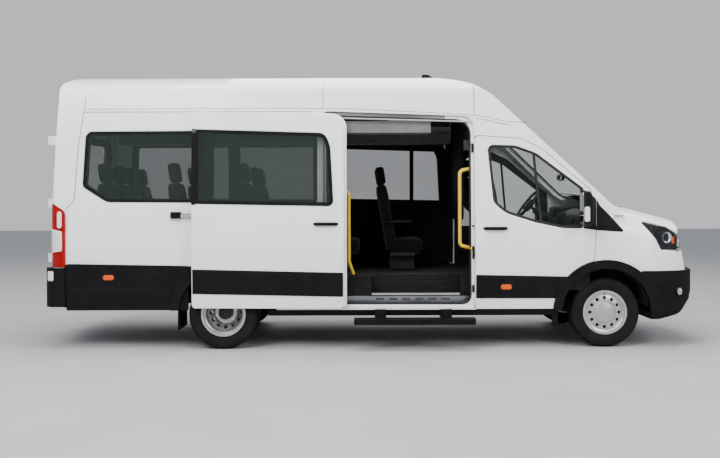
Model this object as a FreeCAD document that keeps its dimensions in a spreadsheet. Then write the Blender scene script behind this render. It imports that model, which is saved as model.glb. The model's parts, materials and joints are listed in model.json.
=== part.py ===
import FreeCAD, Part
import math
import os
import Sketcher

# High-roof minibus with twin rear wheels. Millimetres, +X forward, +Y to the left, +Z up.
# The origin is on the ground, midway along the vehicle and on its centre plane.

doc = FreeCAD.newDocument("Minibus")

# Driving sizes: alias, value in millimetres or degrees
SIZES = [
    ("overall_length", 6704), ("front_overhang", 1023), ("wheelbase", 3750),
    ("body_height", 2752), ("crown_radius", 2550), ("shoulder_half", 918), ("shoulder_height", 2600),
    ("gutter_half", 946), ("gutter_height", 2345), ("glass_top_half", 968), ("glass_top_height", 2120),
    ("belt_half", 1012), ("belt_height", 1420), ("waist_half", 1029.5), ("waist_height", 1000),
    ("rocker_bottom", 322), ("sill_half", 1006), ("sill_height", 380), ("wall", 50), ("glass_depth", 4),
    ("glass_thick", 6),
    ("shut_gap", 7), ("rear_shut_gap", 12),
    ("door_rear_x", 1045), ("door_front_x", 2225), ("door_top_height", 2085),
    ("slide_rear_x", -436), ("slide_front_x", 1036), ("slide_travel", 1277), ("slide_out", 88),
    ("floor_top", 700), ("floor_thick", 50), ("rear_face_inset", 127), ("rear_bow_radius", 3400),
    ("rear_flank_slope", 0.1763), ("rear_door_half", 880),
    ("rear_door_bottom", 655), ("rear_door_top", 2390), ("rear_hinge_proud", 45),
    ("bonnet_half", 760), ("bonnet_rear_x", 2600), ("bonnet_front_x", 3165), ("bonnet_thick", 28),
    ("bonnet_slope", 0.27), ("bonnet_root_z", 1412), ("bonnet_end_x", 3216), ("nose_bow_radius", 2600),
    ("screen_foot_x", 2540), ("screen_slope", 0.918),
    ("arch_radius", 438), ("flare_radius", 522), ("flare_proud", 14), ("rear_flare_proud", 34),
    ("bumper_top", 752), ("bumper_bottom", 285),
    ("tyre_radius", 340), ("tyre_width", 196), ("rim_flange_radius", 221),
    ("rim_seat_radius", 204), ("rim_half_width", 82), ("front_track", 1732), ("rear_track", 1642),
    ("twin_offset", 114), ("stub_radius", 30), ("shaft_clearance", 0.05), ("kingpin_half", 715),
    ("hub_cover_radius", 112), ("rim_holes", 12), ("rim_hole_radius", 17), ("rim_hole_circle", 143),
    ("rail_half", 430), ("rail_width", 80), ("rail_height", 110),
    ("grab_radius", 18), ("grip_circle", 188), ("grip_radius", 15), ("wheel_rake", 38),
    ("seat_width", 430), ("seat_pitch", 700), ("seat_gap", 0.3), ("tow_eye_radius", 10),
    ("tow_eye_depth", 60),
    ("mirror_reach", 1237), ("hinge_radius", 9), ("hinge_gap", 0.3), ("stop_overlap", 14), ("stop_thick", 10),
    ("bracket_hole_radius", 7),
]

sheet = doc.addObject("Spreadsheet::Sheet", "Sizes")
for row, (alias, value) in enumerate(SIZES, start=1):
    sheet.set(f"A{row}", alias)
    sheet.set(f"B{row}", str(value))
    sheet.setAlias(f"B{row}", alias)
doc.recompute()


class Named:
    """Reads a driving size from the sheet by its alias."""

    def __getattr__(self, alias):
        return float(sheet.get(alias))


s = Named()
pieces = {}

# Places that follow from the driving sizes
nose_x = s.overall_length / 2
tail_x = -s.overall_length / 2
front_axle_x = nose_x - s.front_overhang
rear_axle_x = front_axle_x - s.wheelbase
wheel_z = s.tyre_radius
rear_face_x = tail_x + s.rear_face_inset
rear_vertex_x = rear_face_x - s.rear_bow_radius * (math.sqrt(1 + s.rear_flank_slope ** 2) - 1)
far = 4000


def vec(x, y, z):
    return FreeCAD.Vector(x, y, z)


def place(plane, u, v, at):
    """A point of a plane named by its two axes, at the given third coordinate."""
    return {"xz": vec(u, at, v), "yz": vec(at, u, v), "xy": vec(u, v, at)}[plane]


def outline(corners, plane, at=0.0):
    """Closed wire through (u, v, radius) corners, each corner rounded by a tangent arc."""
    count = len(corners)
    starts, edges = [], []
    for i, (u, v, radius) in enumerate(corners):
        before, after = corners[i - 1], corners[(i + 1) % count]
        here = FreeCAD.Vector(u, v, 0)
        back = FreeCAD.Vector(before[0] - u, before[1] - v, 0)
        ahead = FreeCAD.Vector(after[0] - u, after[1] - v, 0)
        if radius == 0:
            starts.append((here, None, here))
            continue
        back.normalize()
        ahead.normalize()
        half = back.getAngle(ahead) / 2
        reach = radius / math.tan(half)
        middle = back + ahead
        middle.normalize()
        arc_middle = here + middle * (radius / math.sin(half) - radius)
        starts.append((here + back * reach, arc_middle, here + ahead * reach))
    put = lambda p: place(plane, p.x, p.y, at)
    for i, (first, middle, last) in enumerate(starts):
        if middle is not None:
            edges.append(Part.Arc(put(first), put(middle), put(last)).toShape())
        following = starts[(i + 1) % count][0]
        if (following - last).Length > 1e-6:
            edges.append(Part.LineSegment(put(last), put(following)).toShape())
    return Part.Wire(edges)


def prism(corners, plane, start, end, grow=0.0):
    """Solid between two levels of a plane, its outline grown outwards by `grow`."""
    wire = outline(corners, plane, start)
    if grow:
        wire = wire.makeOffset2D(grow, 0)
    along = {"xz": vec(0, end - start, 0), "yz": vec(end - start, 0, 0), "xy": vec(0, 0, end - start)}[plane]
    return Part.Face(wire).extrude(along)


def block(x0, x1, y0, y1, z0, z1):
    return Part.makeBox(x1 - x0, y1 - y0, z1 - z0, vec(x0, y0, z0))


def rod(start, end, radius):
    axis = end - start
    return Part.makeCylinder(radius, axis.Length, start, axis)


def mirrored(shape):
    return shape.mirror(vec(0, 0, 0), vec(0, 1, 0))


def both_sides(shape):
    return Part.Compound([shape, mirrored(shape)])


def solids_only(shape):
    """The shape's solids as one solid or a compound, without faces or shells left by a cut."""
    solids = [solid for solid in shape.Solids if solid.Volume > 1.0]
    return solids[0] if len(solids) == 1 else Part.Compound(solids)


def add(label, shape):
    """Sub-part whose shape is worked out from the sheet."""
    feature = doc.addObject("Part::Feature", label)
    feature.Shape = solids_only(shape)
    feature.Label = label
    pieces[label] = feature
    return feature


# Outer form of the body

def cross_section(depth):
    """Tumblehome of the sides and crown of the roof, moved inwards by depth."""
    half = [
        (s.sill_half - 20, s.bumper_bottom - 5, 0), (s.sill_half, s.sill_height, 60),
        (s.waist_half, s.waist_height, 1500), (s.belt_half, s.belt_height, 2500),
        (s.glass_top_half, s.glass_top_height, 2500), (s.gutter_half, s.gutter_height, 600),
        (s.shoulder_half, s.shoulder_height, 110),
    ]
    apex = s.body_height + s.crown_radius * 0.0535
    corners = half + [(0, apex, s.crown_radius)] + [(-y, z, r) for y, z, r in reversed(half)]
    return prism(corners, "yz", -far, far, -depth)


def side_profile(depth):
    """Length and height of the body at its centre plane, moved inwards by depth."""
    corners = [
        (rear_face_x - 200, s.bumper_bottom - 5, 0), (rear_face_x - 200, s.body_height, 0),
        (799, s.body_height, 1400), (1642, 2245, 300), (s.screen_foot_x, s.belt_height, 40),
        (nose_x + 40, s.belt_height, 0), (nose_x + 40, s.bumper_bottom - 5, 0),
    ]
    return prism(corners, "xz", -far, far, -depth)


def plan(depth):
    """Bowed rear face and swept front corners seen from above, moved inwards by depth.

    The rear face stands upright, leans forwards above its lamps and rounds over into the roof."""
    half = [
        (rear_vertex_x + 1045 * s.rear_flank_slope, -1045, 120), (2350, -1036, 3000), (2960, -1006, 700),
        (3262, -800, 330),
    ]
    corners = ([(rear_vertex_x, 0, s.rear_bow_radius)] + half + [(nose_x + 16, 0, 2600)]
               + [(x, -y, r) for x, y, r in reversed(half)])
    whole = prism(corners, "xy", -100, 1500, -depth)
    foot = prism(corners, "xy", 1500, 1501, -depth)
    foot = [face for face in foot.Faces if abs(face.CenterOfMass.z - 1500) < 0.01][0]
    shift = 0
    for low, high, lean in ((1500, 2560, 0.068), (2560, 2640, 0.40), (2640, 2700, 1.0), (2700, 2900, 2.2)):
        level = foot.translated(vec(shift, 0, low - 1500))
        whole = whole.fuse(level.extrude(vec(lean * (high - low), 0, high - low)))
        shift += lean * (high - low)
    return whole


def bowed_slope(depth, foot_x, foot_z, slope, bow, low_x=far):
    """Everything behind a leaning, bowed pane whose foot is on the centre plane at foot_x.

    Below its foot it takes in everything up to low_x."""
    half_width, top_z = 1300, 3100
    sag = half_width ** 2 / (2 * bow)
    back = foot_x - depth / math.sin(math.atan(slope))
    front = Part.Arc(vec(back - sag, -half_width, foot_z), vec(back, 0, foot_z),
                     vec(back - sag, half_width, foot_z)).toShape()
    ends = [vec(back - sag, half_width, foot_z), vec(-2 * far, half_width, foot_z),
            vec(-2 * far, -half_width, foot_z), vec(back - sag, -half_width, foot_z)]
    lines = [Part.LineSegment(a, b).toShape() for a, b in zip(ends, ends[1:])]
    rise = top_z - foot_z
    leaning = Part.Face(Part.Wire([front] + lines)).extrude(vec(-rise / slope, 0, rise))
    return leaning.fuse(block(-far, low_x, -half_width, half_width, -100, foot_z))


def nose_form(depth):
    """Bonnet, grille face and bumper as one profile bowed about an upright axis, with round shoulders."""
    axis_x = nose_x - s.nose_bow_radius
    ledge_x = nose_x - 54
    bonnet_end_z = s.bonnet_root_z - (s.bonnet_end_x - s.screen_foot_x) * s.bonnet_slope
    back_x = 2300
    back_z = s.bonnet_root_z + (s.screen_foot_x - back_x) * s.bonnet_slope
    corners = [
        (axis_x + 400, s.bumper_bottom, 0), (nose_x - 290, s.bumper_bottom, 60), (nose_x - 105, 335, 110),
        (nose_x - 9, 500, 150), (nose_x - 9, s.bumper_top, 0), (ledge_x, s.bumper_top, 0),
        (s.bonnet_end_x, bonnet_end_z, 130), (back_x, back_z, 0), (axis_x + 400, back_z, 0),
    ]
    rim = outline(corners, "xz")
    if depth:
        rim = rim.makeOffset2D(-depth, 2)
    bowed = Part.Face(rim).revolve(vec(axis_x, 0, 0), vec(0, 0, 1), 90)
    bowed.rotate(vec(axis_x, 0, 0), vec(0, 0, 1), -45)
    start_x, end_x = 2150, 3500
    half = [(-1200, 900, 0), (-1075, 1130, 0), (-1015, 1290, 200), (-930, 1425, 180), (-640, 1515, 400)]
    shoulders = [(-1200, -600, 0)] + half + [(-y, z, r) for y, z, r in reversed(half)] + [(1200, -600, 0)]
    arch = outline(shoulders, "yz", start_x)
    if depth:
        arch = arch.makeOffset2D(-depth, 2)
    fall = (end_x - start_x) * s.bonnet_slope
    return bowed.common(Part.Face(arch).extrude(vec(end_x - start_x, 0, -fall)))


forms = {}


def body_form(depth):
    """The body's outer form, moved inwards by depth (outwards when negative)."""
    if depth in forms:
        return forms[depth]
    form = cross_section(depth).common(side_profile(depth)).common(plan(depth))
    # The windscreen's plane carries on below its foot, so that the bonnet's shoulders can fall away
    low_z = 1300
    foot_x = s.screen_foot_x + (s.belt_height - low_z) / s.screen_slope
    behind_screen = bowed_slope(depth, foot_x, low_z, s.screen_slope, 2900, low_x=2400 - depth)
    form = form.common(nose_form(depth).fuse(behind_screen))
    forms[depth] = form.common(bowed_slope(depth, 3018, 1420, 0.60, 1500))
    return forms[depth]


outer = body_form(0)
inner = body_form(s.wall)
hollow = inner.fuse(inner.translated(vec(0, 0, -400)))
below = block(-far, front_axle_x + 200, -1300, 1300, 0, s.sill_height)
body_shell = outer.cut(hollow)
walls = body_shell.cut(below)
pane_outer = body_form(s.glass_depth)
pane_inner = body_form(s.glass_depth + s.glass_thick)
pane = pane_outer.cut(pane_inner)


# Outlines on the sides: x, z, corner radius

def front_door(grow=0.0, rear_grow=0.0):
    corners = [
        (s.door_rear_x - rear_grow, s.sill_height + 6, 30), (s.door_rear_x - rear_grow, s.door_top_height, 45),
        (1500, 2052, 130), (1700, 1955, 120), (2178, 1540, 25), (s.door_front_x, 1160, 120),
        (s.door_front_x - 22, 862, 60), (s.door_front_x - 22, 640, 60), (1870, s.sill_height + 6, 30),
    ]
    whole = prism(corners, "xz", -1300, -700, grow)
    arch = Part.makeCylinder(s.flare_radius + 6 - grow, 700, vec(front_axle_x, -1300, wheel_z), vec(0, 1, 0))
    return whole.cut(arch)


DOOR_WINDOW = [
    (1178, 1985, 45), (1440, 1977, 200), (1640, 1905, 250), (2094, 1560, 18), (2094, 1180, 30),
    (1900, 1183, 300), (1640, 1238, 400), (1350, 1330, 260), (1232, 1432, 90),
]
SLIDE_WINDOW = [
    (s.slide_rear_x + 26, 1418, 25), (s.slide_rear_x + 26, 2148, 25), (850, 2108, 90),
    (s.slide_front_x - 128, 1990, 300), (s.slide_front_x - 96, 1392, 55),
]
MIDDLE_WINDOW = [(-1560, 1430, 40), (-1560, 2140, 40), (-500, 2140, 40), (-500, 1420, 40)]
QUARTER_WINDOW = [
    (-2775, 2135, 70), (-1620, 2140, 40), (-1620, 1430, 40), (-2560, 1438, 120), (-2800, 1590, 60),
]


def slide_door(grow=0.0):
    corners = [
        (s.slide_rear_x, s.sill_height + 30, 35), (s.slide_rear_x, 2324, 40),
        (s.slide_front_x, 2270, 110), (s.slide_front_x, s.sill_height + 22, 45),
    ]
    return prism(corners, "xz", -1300, -700, grow)


def stop_lip(zone, thickness=None):
    """Flange behind a door's edge, on which the closed door rests; zone(grow) is the door's outline."""
    depth = thickness or s.wall
    wide = zone(s.shut_gap + 12)
    lip = body_form(depth + s.seat_gap).cut(body_form(depth + s.stop_thick))
    lip = lip.common(wide.cut(zone(-s.stop_overlap)))
    root = body_form(depth - 10).cut(body_form(depth + s.stop_thick)).common(wide.cut(zone(s.shut_gap)))
    return lip.fuse(root)


def through_right(corners, grow=0.0):
    return prism(corners, "xz", -1300, -700, grow)


def through_left(corners, grow=0.0):
    return mirrored(through_right(corners, grow))


front_arch = Part.makeCylinder(s.arch_radius, 2600, vec(front_axle_x, -1300, wheel_z), vec(0, 1, 0))
rear_arch = Part.makeCylinder(s.arch_radius, 2600, vec(rear_axle_x, -1300, wheel_z), vec(0, 1, 0))
arches = front_arch.fuse(rear_arch).fuse(block(front_axle_x - s.arch_radius, front_axle_x + s.arch_radius,
                                               -1300, 1300, 0, wheel_z))
arches = arches.fuse(block(rear_axle_x - s.arch_radius, rear_axle_x + s.arch_radius, -1300, 1300, 0, wheel_z))

# Where the body's panels meet, in x and z
roof_zone = prism([(-far, s.gutter_height + 5, 0), (-400, s.gutter_height + 5, 0), (1043, 2295, 0),
                   (1330, 2235, 0), (1690, 2205, 0), (2400, 2500, 0), (2400, 3200, 0), (-far, 3200, 0)],
                  "xz", -1300, 1300)
rear_zone = prism([(-2790, 3200, 0), (-2763, 2630, 0), (-2850, 1953, 0), (-2876, 1458, 0), (-2960, 1374, 0),
                   (-2960, 0, 0), (-far, 0, 0), (-far, 3200, 0)], "xz", -1300, 1300)
pillar_x = s.door_rear_x - 45
cab_zone = block(pillar_x, far, -1300, 1300, 0, 3200)
wing_zone = prism([(2236, 0, 0), (2236, 1160, 0), (2262, 1300, 0), (2300, 1400, 0), (2585, 1404, 0),
                   (2585, 3200, 0), (far, 3200, 0), (far, 0, 0)], "xz", -1300, 1300)
bumper_rear_x = 2668
bumper_zone = block(bumper_rear_x, far, -1300, 1300, 0, s.bumper_top)

# Roof, sides and rear frame


def rear_doors(grow=0.0):
    corners = [(-s.rear_door_half, s.rear_door_bottom, 40), (-s.rear_door_half, s.rear_door_top, 60),
               (s.rear_door_half, s.rear_door_top, 60), (s.rear_door_half, s.rear_door_bottom, 40)]
    return prism(corners, "yz", -far, rear_face_x + 260, grow)


rear_doorway = rear_doors(s.shut_gap)
lamp_zone = prism([(-far, 803, 0), (-2977, 803, 12), (-2977, 1358, 12), (-3080, 1425, 12), (-far, 1425, 0)],
                  "xz", -1300, 1300)
lamp_zone = lamp_zone.cut(block(-far, 0, -s.rear_door_half - 22, s.rear_door_half + 22, 0, 3000))

roof_shape = walls.common(roof_zone).cut(rear_doorway)
add("roof", roof_shape)

side_zone = block(-far, pillar_x, -1300, 1300, 0, 3200).cut(roof_zone).cut(rear_zone)
side_walls = walls.common(side_zone).cut(arches)
left_wall = side_walls.common(block(-far, far, 500, 1300, 0, 3200))
right_wall = side_walls.common(block(-far, far, -1300, -500, 0, 3200))
for window in (SLIDE_WINDOW, MIDDLE_WINDOW, QUARTER_WINDOW):
    left_wall = left_wall.cut(through_left(window))
for window in (MIDDLE_WINDOW, QUARTER_WINDOW):
    right_wall = right_wall.cut(through_right(window))
right_wall = right_wall.cut(slide_door(s.shut_gap))
add("left_side", left_wall)
add("right_side", right_wall)

rear_shape = walls.common(rear_zone).cut(roof_zone).cut(rear_doorway).cut(lamp_zone)
rear_lip = stop_lip(rear_doors).cut(roof_zone)
rear_shape = rear_shape.fuse(rear_lip)
hinge_y = s.rear_door_half + 3
hinge_x = rear_vertex_x + hinge_y * s.rear_flank_slope - s.rear_hinge_proud
hinge_root_x = hinge_x + 130
HINGE_HEIGHTS = (850, 1390, 2010)


def hinge_barrel(z0, z1):
    return rod(vec(hinge_x, hinge_y, z0), vec(hinge_x, hinge_y, z1), s.hinge_radius)


for height in HINGE_HEIGHTS:
    frame_arm = block(hinge_x, hinge_root_x, hinge_y + 5, hinge_y + 17, height, height + 44)
    barrel = hinge_barrel(height, height + 44).fuse(frame_arm.cut(outer))
    barrel = barrel.fuse(block(hinge_x, hinge_x + 8, hinge_y, hinge_y + 17, height, height + 44))
    rear_shape = rear_shape.fuse(both_sides(barrel))
rear_shape = rear_shape.cut(block(-far, -2960, -1300, 1300, 0, 430))
add("rear_frame", rear_shape)

# Cab: pillars, door frames and scuttle
windscreen_zone = prism([(1655, -far, 0), (1655, far, 0), (2600, far, 0), (2600, -far, 0)], "xy", 1462, 2180)
windscreen_zone = windscreen_zone.common(prism([(-880, 1462, 90), (880, 1462, 90), (800, 2180, 110),
                                                (-800, 2180, 110)], "yz", 1000, 3000))
cab_shape = walls.common(cab_zone).cut(roof_zone).cut(wing_zone).cut(windscreen_zone)
cab_shape = cab_shape.cut(slide_door(s.shut_gap))
door_gap = front_door(s.shut_gap).fuse(front_door(s.shut_gap, s.rear_shut_gap - s.shut_gap))
cab_shape = cab_shape.cut(door_gap).cut(mirrored(door_gap)).cut(arches)
door_lip = stop_lip(front_door).cut(arches)
cab_shape = cab_shape.fuse(door_lip).fuse(mirrored(door_lip))
add("cab_frame", cab_shape)
add("windscreen", pane.common(windscreen_zone.common(prism(
    [(-877, 1465, 88), (877, 1465, 88), (797, 2177, 108), (-797, 2177, 108)], "yz", 1000, 3000))))

panes = [pane.common(through_left(window, -1)) for window in (SLIDE_WINDOW, MIDDLE_WINDOW, QUARTER_WINDOW)]
panes += [pane.common(through_right(window, -1)) for window in (MIDDLE_WINDOW, QUARTER_WINDOW)]
add("side_glass", Part.Compound(panes))

# Front doors, hinged at their front edges
door_cut = through_right(DOOR_WINDOW)
right_door = outer.cut(inner).common(front_door()).cut(door_cut)
right_pane = pane.common(through_right(DOOR_WINDOW, -1))
mirror_arm = prism([(2062, 1215, 12), (2062, 1345, 12), (2126, 1345, 12), (2126, 1215, 12)],
                   "xz", -1070, -1010)
mirror_head = prism([(2052, 1192, 22), (2052, 1532, 30), (2110, 1532, 22), (2150, 1460, 40),
                     (2150, 1240, 40), (2110, 1192, 22)], "xz", -s.mirror_reach, -1066)
mirror_shape = mirror_arm.fuse(mirror_head).cut(outer)
for side, turn in (("right", lambda shape: shape), ("left", mirrored)):
    add(f"{side}_door", turn(right_door))
    add(f"{side}_door_glass", turn(right_pane))
    add(f"{side}_mirror", turn(mirror_shape))

# Sliding side door, standing open behind its doorway
slide_move = vec(-s.slide_travel, -s.slide_out, 0)
slide_panel = outer.cut(inner).common(slide_door()).cut(through_right(SLIDE_WINDOW))
add("sliding_door", slide_panel.translated(slide_move))
add("sliding_door_glass", pane.common(through_right(SLIDE_WINDOW, -1)).translated(slide_move))

# Door tracks along the side and the arms that carry the open door
track_z = 1310
track = block(-1830, -474, -1046, -1010, track_z - 14, track_z + 14).cut(outer)
track = track.fuse(block(-1930, -1830, -1052, -1010, track_z - 32, track_z + 32).cut(outer))
arm = block(-1660, -1560, -1075, -1040, track_z - 22, track_z + 22)
track = track.fuse(arm.cut(slide_panel.translated(slide_move)).cut(outer))
add("door_tracks", track)

# Rear doors
rear_panel_zone = prism([(6, s.rear_door_bottom, 30), (6, s.rear_door_top, 30),
                         (s.rear_door_half, s.rear_door_top, 55), (s.rear_door_half, s.rear_door_bottom, 35)],
                        "yz", -far, rear_face_x + 250)
rear_window = [(90, 1450, 50), (90, 2130, 60), (800, 2130, 80), (800, 1450, 60)]
rear_panel = outer.cut(inner).common(rear_panel_zone)
rear_panel = rear_panel.cut(prism(rear_window, "yz", -far, rear_face_x + 250))
rear_pane = pane.common(prism(rear_window, "yz", -far, rear_face_x + 250, -1))
for height in HINGE_HEIGHTS:
    low = height + 44 + s.hinge_gap
    door_arm = block(hinge_x, hinge_root_x, hinge_y - 17, hinge_y - 5, low, low + 44)
    rear_panel = rear_panel.fuse(hinge_barrel(low, low + 44)).fuse(door_arm.cut(outer))
    rear_panel = rear_panel.fuse(block(hinge_x, hinge_x + 8, hinge_y - 17, hinge_y, low, low + 44))
for side, turn in (("left", lambda shape: shape), ("right", mirrored)):
    add(f"{side}_rear_door", turn(rear_panel))
    add(f"{side}_rear_glass", turn(rear_pane))

# Nose: wings, bonnet, grille and lamps
bonnet_half_corners = [(s.bonnet_rear_x, -s.bonnet_half - 15, 50),
                       (s.bonnet_rear_x + 280, -s.bonnet_half - 5, 300),
                       (s.bonnet_front_x - 120, -s.bonnet_half + 80, 90)]
bonnet_corners = bonnet_half_corners + [(s.bonnet_front_x + 10, 0, 1800)]
bonnet_corners += [(x, -y, r) for x, y, r in reversed(bonnet_half_corners)]


def bonnet_plan(grow=0.0):
    return prism(bonnet_corners, "xy", 1050, 1600, grow)


bonnet_zone = bonnet_plan()
bonnet_opening = bonnet_plan(s.shut_gap)
bonnet_shape = outer.cut(body_form(s.bonnet_thick)).common(bonnet_zone)
add("bonnet", bonnet_shape)

headlamp_corners = [(2662, 1240, 12), (2930, 1178, 60), (3045, 1100, 60), (3068, 1000, 20), (3066, 940, 15),
                    (2863, 962, 25), (2810, 1068, 60)]
lamp_side = prism(headlamp_corners, "xz", -1300, -690)
lamp_front = prism([(-1300, 942, 0), (-1300, 1150, 0), (-760, 1110, 40), (-560, 1010, 30), (-600, 942, 30)],
                   "yz", 3000, far)
headlamp_zone = lamp_side.fuse(lamp_front.common(block(3040, far, -1300, 0, 0, 3000)))
grille_zone = prism([(-545, 800, 40), (-640, 1075, 40), (640, 1075, 40), (545, 800, 40)], "yz", 3000, far)
nose = walls.common(wing_zone).cut(bonnet_opening).cut(bumper_zone).cut(arches)
nose = nose.cut(headlamp_zone).cut(mirrored(headlamp_zone)).cut(grille_zone)
nose = nose.cut(block(2500, far, -1300, 1300, 1404, 1800).common(bonnet_opening))
nose = nose.cut(door_lip).cut(mirrored(door_lip))
nose = nose.fuse(stop_lip(bonnet_plan, s.bonnet_thick).cut(grille_zone).cut(headlamp_zone).cut(
    mirrored(headlamp_zone)).common(block(0, far, -1300, 1300, 1100, 2000)))
add("front_wings", nose)
lamp_body = body_form(-3).cut(body_form(s.wall + 20)).common(headlamp_zone).cut(grille_zone)
add("headlamps", both_sides(lamp_body))

bar_heights = (830, 905, 980, 1045)
grille_solid = body_form(6).cut(body_form(40)).common(grille_zone)
openings = [block(2900, far, -520 - (z - 815) * 0.35, 520 + (z - 815) * 0.35, z + 12, z + 52)
            for z in bar_heights[:3]]
for opening in openings:
    grille_solid = grille_solid.cut(opening.cut(block(2900, far, -16, 16, 0, 2000)))
add("grille", grille_solid)

bumper_shape = body_form(-8).cut(body_form(s.wall)).common(
    block(bumper_rear_x + 0.4, far, -1300, 1300, 0, s.bumper_top - 0.4))
bumper_shape = bumper_shape.cut(arches)
lower_mouth = prism([(-520, 560, 40), (-560, 700, 40), (560, 700, 40), (520, 560, 40)], "yz", 3000, far)
for z in (600, 650):
    lower_mouth = lower_mouth.cut(block(2900, far, -700, 700, z - 7, z + 7))
bumper_shape = bumper_shape.cut(lower_mouth)
fog_place = vec(3150, -800, 500)
fog_hole = rod(fog_place, vec(3500, -830, 500), 45)
bumper_shape = bumper_shape.cut(fog_hole).cut(mirrored(fog_hole))
eye_y, eye_z, eye_face = -420, 560, nose_x - 92
eye_boss = block(eye_face - s.tow_eye_depth, eye_face, eye_y - 32, eye_y + 32, eye_z - 32, eye_z + 32)
eye_way = rod(vec(eye_face, eye_y, eye_z), vec(nose_x + 50, eye_y, eye_z), 24)
eye_bore = rod(vec(eye_face - s.tow_eye_depth, eye_y, eye_z), vec(eye_face, eye_y, eye_z), s.tow_eye_radius)
eye_web = block(eye_face - 30, eye_face + 12, eye_y - 32, eye_y + 32, eye_z - 32, eye_z + 32)
bumper_shape = bumper_shape.fuse(eye_boss).fuse(eye_web).cut(eye_way).cut(eye_bore)
add("front_bumper", bumper_shape)

# Rear bumper and lamps
bumper_vertex_x = rear_vertex_x - 60
bumper_corner_x = bumper_vertex_x + 1048 * s.rear_flank_slope
bumper_front_x = -2960
bumper_plan = [(bumper_vertex_x, 0, s.rear_bow_radius), (bumper_corner_x, -1048, 130),
               (bumper_front_x, -1048, 0), (bumper_front_x, 1048, 0), (bumper_corner_x, 1048, 130)]
ring = prism(bumper_plan, "xy", 418, 798).cut(prism(bumper_plan, "xy", 400, 900, -46))
ring = ring.cut(block(bumper_front_x - 50, bumper_front_x + 50, -985, 985, 300, 900))
ring = ring.cut(block(-far, far, -s.rear_door_half - 8, s.rear_door_half + 8, s.rear_door_bottom - 12, 900))
step_z = s.rear_door_bottom - 12
step_top = block(bumper_vertex_x, rear_face_x + 95, -840, 840, step_z - 28, step_z)
step_top = step_top.common(prism(bumper_plan, "xy", 400, 900, -6))
step_root_x = rear_face_x - 20
rear_step = prism([(tail_x, -300, 25), (step_root_x, -330, 0), (step_root_x, 330, 0), (tail_x, 300, 25)],
                  "xy", step_z - 60, step_z - 4)
rear_bumper = ring.fuse(step_top).fuse(rear_step).cut(outer)
add("rear_bumper", rear_bumper)
tail_lamp = body_form(-6).cut(body_form(s.wall)).common(lamp_zone).common(
    block(-far, 0, -1300, 0, 805, 3000))
add("tail_lamps", both_sides(tail_lamp))

STEP_BRACKETS = (60, 700)
step_low_z, step_top_z = 256, 308


def step_bracket(x):
    """Arm that holds the side step under the body."""
    return block(x, x + 110, -1060, -800, step_top_z - 2, s.sill_height + 6)


# Dark mouldings: rear quarter panels, arch flares and mud flaps
def flare(axle_x, proud, low_x):
    ring = Part.makeCylinder(s.flare_radius, 400, vec(axle_x, -1200, wheel_z), vec(0, 1, 0))
    ring = ring.cut(Part.makeCylinder(s.arch_radius - 2, 400, vec(axle_x, -1200, wheel_z), vec(0, 1, 0)))
    band = body_form(-proud).cut(outer)
    return ring.common(band).common(block(-far, low_x, -1300, -800, s.sill_height, 1500))


cladding = flare(front_axle_x, s.flare_proud, bumper_rear_x)
rear_flare = flare(rear_axle_x, s.rear_flare_proud, 0)
strip_foot_z = s.sill_height + 2
rear_strip = prism([(-2952, strip_foot_z, 0), (-2952, 838, 20), (-1760, 815, 12), (-1760, strip_foot_z, 0)],
                   "xz", -1200, -800)
strip = body_form(-12).cut(outer).common(rear_strip).cut(rear_flare)
rear_flap = block(rear_axle_x - s.arch_radius, rear_axle_x - s.arch_radius + 12, -1050, -640, 190,
                 wheel_z + 58)
cladding_parts = [cladding, rear_flare.fuse(strip).fuse(rear_flap.common(arches))]
front_flap = block(1838, 1850, -1000, -800, 205, s.sill_height)
cladding_parts.append(front_flap)
rocker = body_shell.common(block(rear_axle_x + s.arch_radius, 1838, -1300, 0, s.rocker_bottom,
                                 s.sill_height))
for x in STEP_BRACKETS:
    rocker = rocker.cut(step_bracket(x))
cladding_parts.append(rocker)
add("side_cladding", Part.Compound([both_sides(part) for part in cladding_parts]))

# Floor, open over the wheels and at the step well
well_x0, well_x1 = s.slide_rear_x + 20, s.slide_front_x - 20
well_y = -700
firewall_x = 2490
floor_under = s.floor_top - s.floor_thick
well = block(well_x0, well_x1, -1300, well_y, 0, 1000)
wheel_side = {"front": 540, "rear": 564}
tall_rear = block(-far, far, -1300, -wheel_side["rear"], 0, 2000).common(rear_arch)
tall_front = block(-far, far, -1300, -wheel_side["front"], 0, 2000).common(front_arch)
wheel_rooms = both_sides(tall_rear.fuse(tall_front))
cabin_half, cab_half = 1000, 945
# Flat sections of the floor: start and end along the body, right edge, left edge
FLOOR_SECTIONS = [
    (rear_face_x + 165, rear_axle_x - s.arch_radius, -cabin_half, cabin_half),
    (rear_axle_x - s.arch_radius, rear_axle_x + s.arch_radius, -wheel_side["rear"], wheel_side["rear"]),
    (rear_axle_x + s.arch_radius, well_x0, -cabin_half, cabin_half),
    (well_x0, pillar_x, well_y, cabin_half),
    (pillar_x, well_x1, well_y, cab_half),
    (well_x1, front_axle_x - s.arch_radius, -cab_half, cab_half),
    (front_axle_x - s.arch_radius, firewall_x, -wheel_side["front"], wheel_side["front"]),
]
sections = [block(x0, x1, y0, y1, floor_under, s.floor_top) for x0, x1, y0, y1 in FLOOR_SECTIONS]
sections.append(block(firewall_x, firewall_x + 20, -905, 905, floor_under, 1372).cut(wheel_rooms))
sections = [section.cut(rear_lip).common(hollow) for section in sections]
floor_slab = Part.Compound(sections)
sill = block(-2940, 1780, -946, -912, s.sill_height + 6, floor_under)
sill = sill.cut(arches).cut(well)
add("floor", Part.Compound([floor_slab, both_sides(sill)]))

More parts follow.
